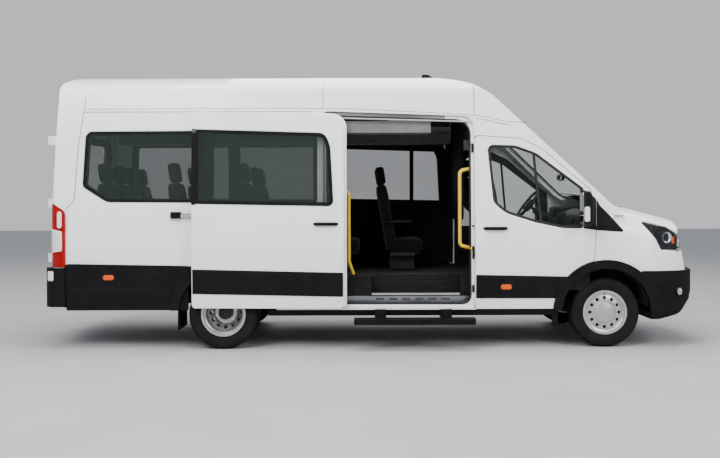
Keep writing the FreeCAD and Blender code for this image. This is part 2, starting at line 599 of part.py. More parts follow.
step_z0, sill_z = 530, 430
step_x0, step_x1 = 28, 911
step_edge_y, sill_edge_y = -890, -948
riser = block(step_x0 - 20, step_x1 + 20, well_y - 24, well_y, step_z0 - 22, s.floor_top)
tread = block(step_x0 - 20, step_x1 + 20, step_edge_y, well_y, step_z0 - 22, step_z0)
cheeks = block(well_x0, step_x0, step_edge_y, well_y, step_z0 - 22, s.floor_top - 2)
cheeks = cheeks.fuse(block(step_x1, well_x1, step_edge_y, well_y, step_z0 - 22, s.floor_top - 2))
front = block(well_x0, well_x1, step_edge_y, step_edge_y + 14, sill_z - 24, step_z0)
sill_plate = block(well_x0, well_x1, sill_edge_y, step_edge_y + 14, sill_z - 24, sill_z)
ends = block(well_x0, well_x0 + 16, sill_edge_y, step_edge_y, sill_z, s.floor_top - 2)
ends = ends.fuse(block(well_x1 - 16, well_x1, sill_edge_y, step_edge_y, sill_z, s.floor_top - 2))
steps = riser.fuse(tread).fuse(front).fuse(sill_plate).fuse(ends).fuse(cheeks)
add("step_well", steps.cut(body_shell))


def housing(axle_x, inner_y):
    """Half-round liner over a wheel, open outwards."""
    start = inner_y + 0.5
    shell = Part.makeCylinder(s.arch_radius, 930 - start, vec(axle_x, start, wheel_z), vec(0, 1, 0))
    room = Part.makeCylinder(s.arch_radius - 5, 930 - start, vec(axle_x, start + 5, wheel_z), vec(0, 1, 0))
    return shell.cut(room).common(block(-far, far, 0, 1300, wheel_z + 60, 2000))


add("wheel_housings", Part.Compound([both_sides(housing(rear_axle_x, wheel_side["rear"])),
                                     both_sides(housing(front_axle_x, wheel_side["front"]))]))

# Running gear under the floor
def bound(kind, label, sizes, base):
    """Primitive with its sizes and place bound to the sheet by expressions."""
    item = doc.addObject(kind, label)
    for name, words in sizes.items():
        item.setExpression(name, words)
    for axis, words in zip("xyz", base):
        item.setExpression(f"Placement.Base.{axis}", words)
    return item


def box(label, length, width, height, x, y, z):
    return bound("Part::Box", label, {"Length": length, "Width": width, "Height": height}, (x, y, z))


# Arms from the rails to the sills: place along the body, reach, and where each starts across it
OUTRIGGERS = [(x, 402, "Sizes.rail_half + Sizes.rail_width") for x in (-2600, -700, 400, 1600)]
OUTRIGGERS += [(x, reach, f"-Sizes.rail_half - Sizes.rail_width - {reach}")
               for x, reach in ((-2600, 400), (-700, 400), (400, 100), (1600, 400))]


def gathered(label, items):
    """Several solids that touch, as one piece."""
    whole = doc.addObject("Part::Compound", label)
    whole.Links = items
    whole.Label = label
    pieces[label] = whole


frame_items = []
for side, y, direction in (("Left", "Sizes.rail_half", 1), ("Right", "-Sizes.rail_half - Sizes.rail_width", -1)):
    blank = box(f"Rail{side}", "Sizes.overall_length - 650", "Sizes.rail_width", "Sizes.rail_height",
                "-Sizes.overall_length / 2 + 290", y, "Sizes.floor_top - Sizes.floor_thick - Sizes.rail_height")
    holes = []
    for number, x in enumerate((-2990, -2690)):
        holes.append(bound("Part::Cylinder", f"BracketHole{side}{number}",
                           {"Radius": "Sizes.bracket_hole_radius", "Height": "Sizes.rail_height + 2"},
                           (str(x), f"{direction} * (Sizes.rail_half + Sizes.rail_width / 2)",
                            "Sizes.floor_top - Sizes.floor_thick - Sizes.rail_height - 1")))
    for number, hole in enumerate(holes):
        drilled = doc.addObject("Part::Cut", f"Drilled{side}{number}")
        drilled.Base = blank
        drilled.Tool = hole
        blank = drilled
    frame_items.append(blank)
for number, x in enumerate((-3060, -2100, -700, 300, 1300, 2990)):
    frame_items.append(box(f"Cross{number}", "70", "2 * Sizes.rail_half", "60", str(x), "-Sizes.rail_half",
                           "Sizes.floor_top - Sizes.floor_thick - 85"))
for number, (x, reach, y) in enumerate(OUTRIGGERS):
    frame_items.append(box(f"Outrigger{number}", "60", f"{reach}", "30", str(x), y,
                           "Sizes.floor_top - Sizes.floor_thick - 30"))
gathered("chassis_frame", frame_items)

gathered("engine", [
    box("EngineBlock", "450", "480", "540", "2520", "-240", "552"),
    box("Gearbox", "580", "300", "180", "1670", "-150", "434"),
    box("BellHousing", "270", "240", "90", "2250", "-120", "552"),
    box("EngineMountLeft", "80", "Sizes.rail_half - 240", "40", "2620", "240", "560"),
    box("EngineMountRight", "80", "Sizes.rail_half - 240", "40", "2620", "-Sizes.rail_half", "560"),
])
pieces["fuel_tank"] = box("fuel_tank", "1000", "380", "190", "-480", "Sizes.rail_half + Sizes.rail_width + 12",
                          "430")

arm_height = 268
rail_edge = s.rail_half + s.rail_width
beam = block(front_axle_x - 60, front_axle_x + 60, -rail_edge, rail_edge, 430, 540)
arms = Part.Compound([])
suspension = beam
for direction in (-1, 1):
    arm_start = vec(front_axle_x, direction * 380, 440)
    arm_end = vec(front_axle_x, direction * (s.kingpin_half - 5), 175)
    ball = vec(front_axle_x, direction * s.kingpin_half, 150)
    suspension = suspension.fuse(rod(arm_start, arm_end, 26))
    suspension = suspension.fuse(rod(ball, ball + vec(0, 0, arm_height - 32 - ball.z), 38))
    strut_foot = vec(front_axle_x, direction * 610, 260)
    suspension = suspension.fuse(rod(strut_foot, vec(front_axle_x, direction * 590, 690), 30))
add("front_suspension", suspension)

for side, direction in (("left", 1), ("right", -1)):
    king_y = direction * s.kingpin_half
    post_foot = vec(front_axle_x, king_y, arm_height - 32 + s.hinge_gap)
    post = rod(post_foot, vec(front_axle_x, king_y, wheel_z + 70), 34)
    stub_end = vec(front_axle_x, direction * (s.front_track / 2 + 40), wheel_z)
    stub = rod(vec(front_axle_x, king_y, wheel_z), stub_end, s.stub_radius)
    add(f"{side}_knuckle", post.fuse(stub))

axle_half = s.rear_track / 2 + 58
axle = rod(vec(rear_axle_x, -axle_half, wheel_z), vec(rear_axle_x, axle_half, wheel_z), s.stub_radius)
axle = axle.fuse(rod(vec(rear_axle_x, -600, wheel_z), vec(rear_axle_x, 600, wheel_z), 55))
axle = axle.fuse(Part.makeSphere(170, vec(rear_axle_x, 0, wheel_z)))
for direction in (-1, 1):
    y0 = direction * (s.rail_half + s.rail_width / 2) - 38
    leaf = prism([(rear_axle_x - 700, 520, 0), (rear_axle_x - 350, 415, 900), (rear_axle_x, wheel_z + 40, 900),
                  (rear_axle_x + 350, 415, 900), (rear_axle_x + 700, 520, 0), (rear_axle_x + 700, 540, 0),
                  (rear_axle_x + 350, 447, 900), (rear_axle_x, wheel_z + 72, 900),
                  (rear_axle_x - 350, 447, 900), (rear_axle_x - 700, 540, 0)], "xz", y0, y0 + 76)
    axle = axle.fuse(leaf)
    axle = axle.fuse(block(rear_axle_x - 50, rear_axle_x + 50, y0, y0 + 76, wheel_z, wheel_z + 90))
add("rear_axle", axle)


# Wheels: profiles are lists of distance along the axle and radius

def revolved(label, profile, centre, holes=None):
    """Body turned about the axle line through centre; profile is (along, radius), outwards positive."""
    body = doc.addObject("PartDesign::Body", label)
    plane = [item for item in body.Origin.OriginFeatures if item.Role == "XY_Plane"][0]
    sketch = body.newObject("Sketcher::SketchObject", f"{label}_profile")
    sketch.AttachmentSupport = (plane, "")
    sketch.MapMode = "FlatFace"
    count = len(profile)
    points = [(radius, along) for along, radius in profile]
    for i in range(count):
        a, b = points[i], points[(i + 1) % count]
        sketch.addGeometry(Part.LineSegment(vec(a[0], a[1], 0), vec(b[0], b[1], 0)), False)
    for i in range(count):
        sketch.addConstraint(Sketcher.Constraint("Coincident", i, 2, (i + 1) % count, 1))
    turned = body.newObject("PartDesign::Revolution", f"{label}_turned")
    turned.Profile = sketch
    turned.ReferenceAxis = (sketch, ["V_Axis"])
    turned.Angle = 360
    body.Tip = turned
    if holes:
        doc.recompute()
        hole_sketch = body.newObject("Sketcher::SketchObject", f"{label}_hole")
        across = [item for item in body.Origin.OriginFeatures if item.Role == "XZ_Plane"][0]
        hole_sketch.AttachmentSupport = (across, "")
        hole_sketch.MapMode = "FlatFace"
        hole = Part.Circle(vec(0, s.rim_hole_circle, 0), vec(0, 0, 1), s.rim_hole_radius)
        hole_sketch.addGeometry(hole, False)
        centre_y = hole_sketch.addConstraint(Sketcher.Constraint("DistanceY", -1, 1, 0, 3, s.rim_hole_circle))
        hole_sketch.addConstraint(Sketcher.Constraint("PointOnObject", 0, 3, -2))
        size = hole_sketch.addConstraint(Sketcher.Constraint("Radius", 0, s.rim_hole_radius))
        hole_sketch.setExpression(f"Constraints[{centre_y}]", "Sizes.rim_hole_circle")
        hole_sketch.setExpression(f"Constraints[{size}]", "Sizes.rim_hole_radius")
        pocket = body.newObject("PartDesign::Pocket", f"{label}_pocket")
        pocket.Profile = hole_sketch
        pocket.Type = 1
        pocket.Midplane = True
        ring = body.newObject("PartDesign::PolarPattern", f"{label}_ring")
        ring.Originals = [pocket]
        axis = [item for item in body.Origin.OriginFeatures if item.Role == "Y_Axis"][0]
        ring.Axis = (axis, [""])
        ring.Angle = 360
        ring.setExpression("Occurrences", "Sizes.rim_holes")
        body.Tip = ring
    body.Placement = FreeCAD.Placement(centre, FreeCAD.Rotation())
    body.Label = label
    pieces[label] = body
    return body


def tyre_profile(middle, direction):
    """Section of one tyre, its centre `middle` away from the profile's zero along the axle."""
    half, tread = s.tyre_width / 2, s.tyre_width / 2 - 18
    seat, flange, top = s.rim_seat_radius + 0.3, s.rim_flange_radius + 1, s.tyre_radius
    bead = s.rim_half_width - 6.5
    side = [(bead, seat), (bead, flange + 1), (half - 9, flange + 14), (half, 275), (half - 3, 308),
            (tread, top - 9), (tread - 22, top)]
    loop = [(-along, radius) for along, radius in side] + side[::-1]
    return [(middle + direction * along, radius) for along, radius in loop]


def flip(profile, direction):
    return [(direction * along, radius) for along, radius in profile]


bore = s.stub_radius + s.shaft_clearance
seat, flange, edge = s.rim_seat_radius, s.rim_flange_radius, s.rim_half_width
front_rim = [
    (-edge, flange), (-edge + 6, flange), (-edge + 6, seat), (-44, seat), (-26, seat - 16), (36, seat - 16),
    (54, seat), (edge - 6, seat), (edge - 6, flange), (edge, flange), (edge, seat - 8), (58, seat - 10),
    (50, 178), (64, 128), (64, s.hub_cover_radius), (76, s.hub_cover_radius - 12), (86, 40), (86, 0.01),
    (44, 0.01), (44, bore), (-10, bore), (-10, 70), (40, 70), (46, 112), (34, 166), (28, seat - 24),
    (-28, seat - 24), (-46, seat - 8), (-edge, seat - 8),
]
twin = s.twin_offset
# Twin rims share one disc; this is its outer half, from the hub's cap round to the disc's middle
twin_half = [
    (14, 67), (14, 108), (22, 118), (78, seat - 28), (90, seat - 24), (twin + 34, seat - 24),
    (twin + 48, seat - 8), (twin + edge, seat - 8), (twin + edge, flange), (twin + edge - 6, flange),
    (twin + edge - 6, seat), (twin + 44, seat), (twin + 26, seat - 16), (twin - 26, seat - 16),
    (twin - 44, seat), (twin - edge + 6, seat), (twin - edge + 6, flange), (twin - edge, flange),
    (twin - edge, seat - 8), (62, seat - 8), (70, seat - 20), (64, 172), (12, 122),
]
twin_rim = [(62, 0), (84, 0), (84, 40), (72, 67)] + twin_half + [(0, 112)]
twin_rim += [(-along, radius) for along, radius in reversed(twin_half)][:-1] + [(-14, bore), (62, bore)]

for side, direction in (("left", 1), ("right", -1)):
    front_centre = vec(front_axle_x, direction * s.front_track / 2, wheel_z)
    rear_centre = vec(rear_axle_x, direction * s.rear_track / 2, wheel_z)
    revolved(f"front_{side}_rim", flip(front_rim, direction), front_centre, True)
    revolved(f"rear_{side}_rims", flip(twin_rim, direction), rear_centre, True)


def tyre(centre):
    corners = [place("xy", radius, along, 0) for along, radius in tyre_profile(0, 1)]
    wire = Part.makePolygon(corners + corners[:1])
    ring = Part.Face(wire).revolve(vec(0, 0, 0), vec(0, 1, 0), 360)
    return ring.translated(centre)


for side, direction in (("left", 1), ("right", -1)):
    add(f"front_{side}_tyre", tyre(vec(front_axle_x, direction * s.front_track / 2, wheel_z)))
    add(f"rear_{side}_tyres", Part.Compound([
        tyre(vec(rear_axle_x, direction * (s.rear_track / 2 + offset), wheel_z)) for offset in (-twin, twin)]))


# Seats: side outline relative to the seat's back corner
def seat_solids(x0, y0, lift):
    """Cushion, back and head restraint of one seat, each a convex solid that meets the next."""
    low = s.floor_top + 180 + lift
    half = s.seat_width / 2
    cushion = [(x0 + 70, low, 0), (x0 + 420, low, 45), (x0 + 425, low + 170, 45), (x0 + 118, low + 150, 0)]
    back = [(x0 + 20, low, 30), (x0 + 70, low, 0), (x0 + 122, low + 162.5, 25), (x0 + 20, low + 760, 20),
            (x0 - 95, low + 760, 20)]
    rest = [(x0 - 92, low + 760, 0), (x0 + 10, low + 760, 0), (x0 + 2, low + 962, 35),
            (x0 - 98, low + 962, 35)]
    outlines = ((cushion, half), (back, half), (rest, 125))
    return [prism(corners, "xz", y0 - width, y0 + width) for corners, width in outlines]


LEFT_SEATS, RIGHT_SEATS = (715, 272), (-718,)
# Row: place of the back corner behind the first row, seats on the left, seats on the right
ROWS = [(0, LEFT_SEATS, ()), (1, LEFT_SEATS, ()), (2, LEFT_SEATS, RIGHT_SEATS),
        (3, LEFT_SEATS, RIGHT_SEATS), (4, LEFT_SEATS, (-175, -718))]
first_row_x, cab_row_x, cab_lift = 190, 1215, 90
seats, legs = [], []
for number, left_ones, right_ones in ROWS:
    x0 = first_row_x - number * s.seat_pitch
    under = s.floor_top + 180
    for y0 in left_ones + right_ones:
        seats += seat_solids(x0, y0, 0)
    legs.append(block(x0 + 60, x0 + 330, 160, 195, s.floor_top, under).fuse(
        block(x0 + 60, x0 + 330, 480, 515, s.floor_top, under)).fuse(
        block(x0 + 60, x0 + 330, 60, 900, under - 35, under)))
    if right_ones:
        legs.append(block(x0 + 60, x0 + 330, -555, -520, s.floor_top, under).fuse(
            block(x0 + 60, x0 + 330, -900, 60 if len(right_ones) > 1 else -505, under - 35, under)))
add("passenger_seats", Part.Compound(seats))
cab_places = (455, -265, -712)
cab_solids = [solid for y0 in cab_places for solid in seat_solids(cab_row_x, y0, cab_lift)]
add("cab_seats", Part.Compound(cab_solids))
for y0 in cab_places:
    legs.append(block(cab_row_x - 20, cab_row_x + 380, y0 - 190, y0 + 190, s.floor_top,
                      s.floor_top + 180 + cab_lift))
add("seat_legs", Part.Compound(legs))

# Dashboard, column and steering wheel, for a driver on the left
dash = prism([(2230, 960, 60), (2120, 1130, 60), (2150, 1300, 60), (2300, 1360, 60), (firewall_x, 1360, 0),
              (firewall_x, 960, 0)], "xz", -905, 905)
rake = math.radians(s.wheel_rake)
column_axis = vec(math.cos(rake), 0, -math.sin(rake))
wheel_centre = vec(1840, 455, 1408)
column_start = wheel_centre + column_axis * 95
column = rod(column_start, column_start + column_axis * 330, 38)
add("dashboard", dash.fuse(column).common(hollow))
grip = Part.makeTorus(s.grip_circle, s.grip_radius, wheel_centre, column_axis)
hub = rod(wheel_centre + column_axis * 10, wheel_centre + column_axis * 50, 70)
column_top = wheel_centre + column_axis * 45
steering = grip.fuse(hub).fuse(rod(column_top, column_start - column_axis * s.hinge_gap, 16))
across = vec(0, 1, 0)
upward = vec(math.sin(rake), 0, math.cos(rake))
for spoke in (across, across * -1, upward * -1):
    steering = steering.fuse(rod(wheel_centre + column_axis * 24, wheel_centre + spoke * s.grip_circle, 12))
add("steering_wheel", steering)

# Overhead duct, grab rails, side step and roof pod
duct_half = 960
duct = block(-2900, 620, -duct_half, -660, 2120, 2236)
duct = duct.fuse(block(-2900, 980, 660, duct_half, 2120, 2236))
add("overhead_duct", duct.common(body_form(s.wall)))


def rail(points, radius, bend):
    """Tube through points with rounded bends."""
    edges, last = [], points[0]
    for before, here, after in zip(points, points[1:], points[2:]):
        back, ahead = before - here, after - here
        back.normalize()
        ahead.normalize()
        half = back.getAngle(ahead) / 2
        reach = bend / math.tan(half)
        middle = back + ahead
        middle.normalize()
        start, end = here + back * reach, here + ahead * reach
        edges.append(Part.LineSegment(last, start).toShape())
        edges.append(Part.Arc(start, here + middle * (bend / math.sin(half) - bend), end).toShape())
        last = end
    edges.append(Part.LineSegment(last, points[-1]).toShape())
    path = Part.Wire(edges)
    ring = Part.Wire(Part.makeCircle(radius, points[0], points[1] - points[0]))
    return path.makePipeShell([ring], True, True)


rail_foot = rod(vec(1012, -880, 0), vec(1012, -1010, 0), 14)
front_rail = rail([vec(1022, -880, 1764), vec(909, -880, 1742), vec(909, -880, 1002), vec(1022, -880, 975)],
                  s.grab_radius, 45)
for height in (1762, 977):
    front_rail = front_rail.fuse(rail_foot.translated(vec(0, 0, height)))
rear_rail = rail([vec(-474, -680, 1575), vec(-196, -680, 1540), vec(-196, -680, 830), vec(-150, -680, 700)],
                 s.grab_radius, 45)
rear_rail = rear_rail.fuse(rod(vec(-468, -680, 1574), vec(-468, -1010, 1574), 14))
rail_set = front_rail.fuse(rear_rail).common(hollow).cut(floor_slab)
add("grab_rails", rail_set)
step = prism([(-142, -1206, 55), (1030, -1206, 55), (1030, -1035, 0), (-142, -1035, 0)], "xy",
             step_low_z, step_top_z)
for x in STEP_BRACKETS:
    step = step.fuse(step_bracket(x))
add("side_step", step.cut(walls))
pod = prism([(590, s.body_height - 30, 0), (600, 2826, 6), (660, 2826, 10), (810, s.body_height - 12, 0)],
            "xz", -28, 28)
add("roof_pod", pod.cut(outer))

doc.recompute()
for item in doc.Objects:
    if "Invalid" in item.State or "Error" in item.State:
        raise RuntimeError(f"{item.Label} failed: {item.State}")
for label, item in pieces.items():
    if item.Shape.isNull() or not item.Shape.isValid() or not item.Shape.Solids:
        raise RuntimeError(f"{label} has no valid shape")
os.makedirs("parts", exist_ok=True)
for label, item in pieces.items():
    item.Shape.exportStep(f"parts/{label}.step")
    bounds = item.Shape.BoundBox
    print(f"{label:22s} {len(item.Shape.Solids)} solids {item.Shape.Volume / 1e6:9.2f} l  "
          f"x {bounds.XMin:.0f} {bounds.XMax:.0f}  y {bounds.YMin:.0f} {bounds.YMax:.0f}  "
          f"z {bounds.ZMin:.0f} {bounds.ZMax:.0f}")
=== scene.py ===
import json
import math

import bpy
import numpy as np
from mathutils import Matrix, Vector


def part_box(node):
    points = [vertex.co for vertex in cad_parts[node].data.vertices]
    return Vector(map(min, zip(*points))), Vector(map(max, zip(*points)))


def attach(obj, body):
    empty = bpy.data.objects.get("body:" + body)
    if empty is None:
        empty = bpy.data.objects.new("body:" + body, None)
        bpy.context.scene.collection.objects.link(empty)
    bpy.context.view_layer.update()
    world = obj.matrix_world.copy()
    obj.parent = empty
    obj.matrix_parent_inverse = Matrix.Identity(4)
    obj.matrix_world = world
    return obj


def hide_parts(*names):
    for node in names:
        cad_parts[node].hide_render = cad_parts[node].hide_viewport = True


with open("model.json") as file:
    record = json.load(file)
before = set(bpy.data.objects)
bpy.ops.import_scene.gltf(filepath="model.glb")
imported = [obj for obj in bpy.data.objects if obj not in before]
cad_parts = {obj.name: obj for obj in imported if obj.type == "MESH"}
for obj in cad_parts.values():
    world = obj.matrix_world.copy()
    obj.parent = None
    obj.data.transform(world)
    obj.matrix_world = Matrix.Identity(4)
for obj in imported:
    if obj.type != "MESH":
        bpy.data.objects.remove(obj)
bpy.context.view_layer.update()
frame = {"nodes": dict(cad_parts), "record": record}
nodes = frame["nodes"]

# The photograph's frame and where its camera stood, in pixels and metres
FRAME_WIDTH, FRAME_HEIGHT = 720, 458
FOCAL_PIXELS, HORIZON_PIXEL, ROLL = 867.0, 205.0, 0.003
CAMERA_PLACE = (-0.082, -9.49, 1.405)

# Lengths below are in millimetres, like the frame's drawing sizes
MM = 0.001
FRONT_AXLE, REAR_AXLE, WHEEL_Z = 2329.0, -1421.0, 340.0
FRONT_TRACK, REAR_TRACK, TWIN_STEP = 866, 821, 114
FLARE_RADIUS, ARCH_RADIUS = 522.0, 438.0
WALL, GLASS_DEPTH = 50.0, 4.0
STEP_FACE, MIRROR_BACK, MIRROR_END = -890.5, 2052, -1237
SLIDE_MOVE = np.array((-1277.0, -88.0, 0.0))
REAR_VERTEX, REAR_RADIUS, REAR_SLOPE, REAR_LEAN = -3277.4, 3400.0, 0.1763, 0.068

# Window and door outlines on the sides (x, z, corner radius) and of the rear doors' windows (y, z, radius)
DOOR_WINDOW = [(1178, 1985, 45), (1440, 1977, 200), (1640, 1905, 250), (2094, 1560, 18), (2094, 1180, 30),
               (1900, 1183, 300), (1640, 1238, 400), (1350, 1330, 260), (1232, 1432, 90)]
SLIDE_WINDOW = [(-410, 1418, 25), (-410, 2148, 25), (850, 2108, 90), (908, 1990, 300), (940, 1392, 55)]
MIDDLE_WINDOW = [(-1560, 1430, 40), (-1560, 2140, 40), (-500, 2140, 40), (-500, 1420, 40)]
QUARTER_WINDOW = [(-2775, 2135, 70), (-1620, 2140, 40), (-1620, 1430, 40), (-2560, 1438, 120),
                  (-2800, 1590, 60)]
REAR_WINDOW = [(90, 1450, 50), (90, 2130, 60), (800, 2130, 80), (800, 1450, 60)]


# Outlines and the body's own surfaces: functions of two places and a distance proud of the body

def arcs(corners, closed=True, steps=6):
    """Points (u, v) of an outline through corners (u, v, radius), each corner rounded by an arc."""
    points = []
    for i, (u, v, radius) in enumerate(corners):
        here = np.array((u, v), float)
        if radius <= 0 or (not closed and i in (0, len(corners) - 1)):
            points.append(here[None])
            continue
        before = np.array(corners[i - 1][:2], float) - here
        after = np.array(corners[(i + 1) % len(corners)][:2], float) - here
        before /= np.linalg.norm(before)
        after /= np.linalg.norm(after)
        half = math.acos(np.clip(before @ after, -1, 1)) / 2
        centre = (before + after) / np.linalg.norm(before + after) * radius / math.sin(half)
        start, end = before * radius / math.tan(half) - centre, after * radius / math.tan(half) - centre
        turn, t = math.pi - 2 * half, np.linspace(0, 1, steps + 1)[:, None]
        points.append(here + centre + (np.sin((1 - t) * turn) * start + np.sin(t * turn) * end) / math.sin(turn))
    return np.concatenate(points)


def spread(*values):
    """The values as arrays of numbers of one shape."""
    return np.broadcast_arrays(*(np.asarray(value, float) for value in values))


CROWN_APEX = 2752 + 2550 * 0.0535
SECTION = arcs([(986, 250, 0), (1006, 380, 60), (1029.5, 1000, 1500), (1012, 1420, 2500), (968, 2120, 2500),
                (946, 2345, 600), (918, 2600, 110), (0, CROWN_APEX, 2550), (-918, 2600, 0)],
               closed=False, steps=12)[:-1]
SECTION = SECTION[SECTION[:, 0] >= 0]
PLAN = arcs([(2000, 1036, 0), (2350, 1036, 3000), (2960, 1006, 700), (3262, 800, 330), (3368, 0, 2600),
             (3262, -800, 0)], closed=False, steps=12)
PLAN = PLAN[PLAN[:, 1] >= 0]
REAR_PLAN = arcs([(REAR_VERTEX, 0, 0), (REAR_VERTEX + 1045 * REAR_SLOPE, 1045, 120), (2000, 1036, 0)],
                 closed=False, steps=12)


def side_half(x, z):
    """Half width of the body: the least of the section's at z and of the front and rear plans' at x."""
    from_rear = np.asarray(x, float) - REAR_LEAN * np.maximum(np.asarray(z, float) - 1500, 0)
    ends = np.minimum(np.interp(x, PLAN[:, 0], PLAN[:, 1]), np.interp(from_rear, REAR_PLAN[:, 0], REAR_PLAN[:, 1]))
    return np.minimum(np.interp(z, SECTION[:, 1], SECTION[:, 0]), ends)


def on_side(x, z, proud, move=(0, 0, 0)):
    """Points on the right side: y is minus the half width at x and z, and minus the distance proud."""
    x, z, proud = spread(x, z, proud)
    return np.stack([x, -(side_half(x, z) + proud), z], -1) + np.asarray(move)


def inner_wall(x, z, proud):
    """Points on the inner face of the right wall, standing into the cabin by proud."""
    return on_side(x, z, -(WALL + 1.5 + np.asarray(proud, float)))


def on_rear(y, z, proud):
    """Points on the rear face: an arc between two sloping flanks, leaning above its lamps."""
    y, z, proud = spread(y, z, proud)
    bow = REAR_RADIUS * math.sin(math.atan(REAR_SLOPE))
    apex = REAR_VERTEX + REAR_RADIUS * (math.sqrt(1 + REAR_SLOPE ** 2) - 1)
    arc = apex + REAR_RADIUS - np.sqrt(REAR_RADIUS ** 2 - np.minimum(np.abs(y), bow) ** 2)
    face = np.where(np.abs(y) < bow, arc, REAR_VERTEX + REAR_SLOPE * np.abs(y)) + REAR_LEAN * np.maximum(z - 1500, 0)
    return np.stack([face - proud, y, z], -1)


def inner_rear(y, z, proud):
    """Points on the inner face of the rear doors."""
    return on_rear(y, z, -np.asarray(proud, float) - WALL - 1.5)


def upright_plane(place):
    """Surface function of the plane y = place, which faces the right side."""
    def surface(x, z, proud):
        """x and z as they are; y is the plane's place less the distance proud."""
        x, z, proud = spread(x, z, proud)
        return np.stack([x, place - proud, z], -1)

    return surface


# The nose, windscreen and rear corners as surfaces

NOSE_AXIS, BUMPER_FORWARDS = 752.0, 8
NOSE_PROFILE = arcs([(2200, 285, 0), (2310, 285, 60), (2495, 335, 110), (2591, 500, 150), (2591, 751.9, 0),
                     (2546, 752, 0), (2464, 1229.5, 130), (1548, 1476.8, 0)], closed=False, steps=10)
NOSE_TOP = NOSE_PROFILE[NOSE_PROFILE[:, 1] > 751.95][::-1]
SHOULDERS = arcs([(-2000, 1515, 0), (640, 1515, 400), (930, 1425, 180), (1015, 1290, 200), (1075, 1130, 0)],
                 closed=False, steps=10)
SCREEN_NORMAL = np.array((0.676, 0.0, 0.737))


def on_nose(y, z, proud):
    """Points on the nose and bumper faces: a profile swung about an upright axis, cut by the plan."""
    y, z, proud = spread(y, z, proud)
    reach = np.interp(z, NOSE_PROFILE[:, 1], NOSE_PROFILE[:, 0])
    bowed = NOSE_AXIS + np.sqrt(reach ** 2 - y ** 2)
    return np.stack([np.minimum(bowed, np.interp(np.abs(y), PLAN[::-1, 1], PLAN[::-1, 0])) + proud, y, z], -1)


def on_bumper(y, z, proud):
    """Points on the bumper, whose face is the nose's own moved forwards."""
    return on_nose(y, z, np.asarray(proud, float) + BUMPER_FORWARDS)


def on_bonnet(x, y, proud):
    """Points on the bonnet: the lower of a cone about the nose's axis and an arch that falls forwards."""
    x, y, proud = spread(x, y, proud)
    cone = np.interp(np.hypot(x - NOSE_AXIS, y), NOSE_TOP[:, 0], NOSE_TOP[:, 1])
    arch = np.interp(np.abs(y), SHOULDERS[:, 0], SHOULDERS[:, 1]) - (x - 2150) * 0.27
    return np.stack([x, y, np.minimum(cone, arch) + proud], -1)


def on_screen(y, z, proud):
    """Points on the windscreen: a leaning plane, bowed backwards by the square of y, along its normal."""
    y, z, proud = spread(y, z, proud)
    points = np.stack([2540 - (z - 1420) / 0.918 - y ** 2 / 5800, y, z], -1)
    return points + (proud[..., None] - GLASS_DEPTH) * SCREEN_NORMAL


def corner_surface(corners, start_y):
    """Surface function of an upright rear corner: a rounded plan path carried upwards.

    Its first coordinate is the distance along the path from start_y on the rear face."""
    path = arcs(corners, closed=False, steps=16)
    along = np.concatenate([[0], np.cumsum(np.hypot(*np.diff(path, axis=0).T))])
    slope = np.gradient(path, axis=0)
    normal = np.stack([-slope[:, 1], slope[:, 0]], -1) / np.linalg.norm(slope, axis=1)[:, None]
    start = np.interp(start_y, path[:6, 1], along[:6])

    def surface(u, z, proud):
        """Place u along the path, moved outwards along its normal, at height z."""
        u, z, proud = spread(u, z, proud)
        x, y, nx, ny = (np.interp(start + u, along, values) for values in (path[:, 0], path[:, 1], *normal.T))
        return np.stack([x + nx * proud, y + ny * proud, z], -1)

    return surface


BUMPER_BACKWARDS, LAMP_START = 60, 905
AROUND_BODY = corner_surface([(REAR_VERTEX + REAR_SLOPE * 700, 700, 0), (-3093.2, 1045, 120), (-2500, 1044, 0)],
                             LAMP_START)
AROUND_BUMPER = corner_surface([(REAR_VERTEX - BUMPER_BACKWARDS + REAR_SLOPE * 700, 700, 0),
                                (-3152.6, 1048, 130), (-2500, 1048, 0)], LAMP_START)


# Mesh making: a part is an array of points and an array of quads

def grid(points, wrap_rows=False, wrap_columns=False):
    """Quads over a rows by columns array of points."""
    rows, columns = points.shape[:2]
    index = np.arange(rows * columns).reshape(rows, columns)
    if wrap_rows:
        index = np.vstack([index, index[:1]])
    if wrap_columns:
        index = np.hstack([index, index[:, :1]])
    quads = np.stack([index[:-1, :-1], index[1:, :-1], index[1:, 1:], index[:-1, 1:]], -1).reshape(-1, 4)
    return points.reshape(-1, 3), quads


def mirror(part):
    """Part reflected in the centre plane; its quads run the other way, so that they still face outwards."""
    points, quads = part
    return points * (1, -1, 1), quads[:, ::-1]


def shifted(part, move):
    """Part with one vector added to its points."""
    return part[0] + np.asarray(move, float), part[1]


def turned(part, centre, angle, second=1):
    """Part turned through centre from X towards the second axis: 1 yaws it, 2 leans it backwards."""
    points, quads = part[0] - np.asarray(centre, float), part[1]
    c, s = math.cos(angle), math.sin(angle)
    result = points.copy()
    result[:, 0] = points[:, 0] * c - points[:, second] * s
    result[:, second] = points[:, 0] * s + points[:, second] * c
    return result + np.asarray(centre, float), quads


def piece(name, parts, finish, body="body", both=False, stands_for=()):
    """Object made of parts in millimetres, riding on a body; both adds the parts' mirror images."""
    parts = list(parts) + ([mirror(part) for part in parts] if both else [])
    starts = np.cumsum([0] + [len(points) for points, quads in parts[:-1]])
    points = np.concatenate([points for points, quads in parts]) * MM
    quads = np.concatenate([quads + start for (_, quads), start in zip(parts, starts)])
    mesh = bpy.data.meshes.new(name)
    mesh.from_pydata(points.tolist(), [], quads.tolist())
    mesh.materials.append(FINISH[finish])
    item = bpy.data.objects.new(name, mesh)
    bpy.context.scene.collection.objects.link(item)
    item.modifiers.new("shade_by_angle", "NODES").node_group = SMOOTH
    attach(item, body)
    if stands_for:
        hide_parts(*stands_for)
    return item


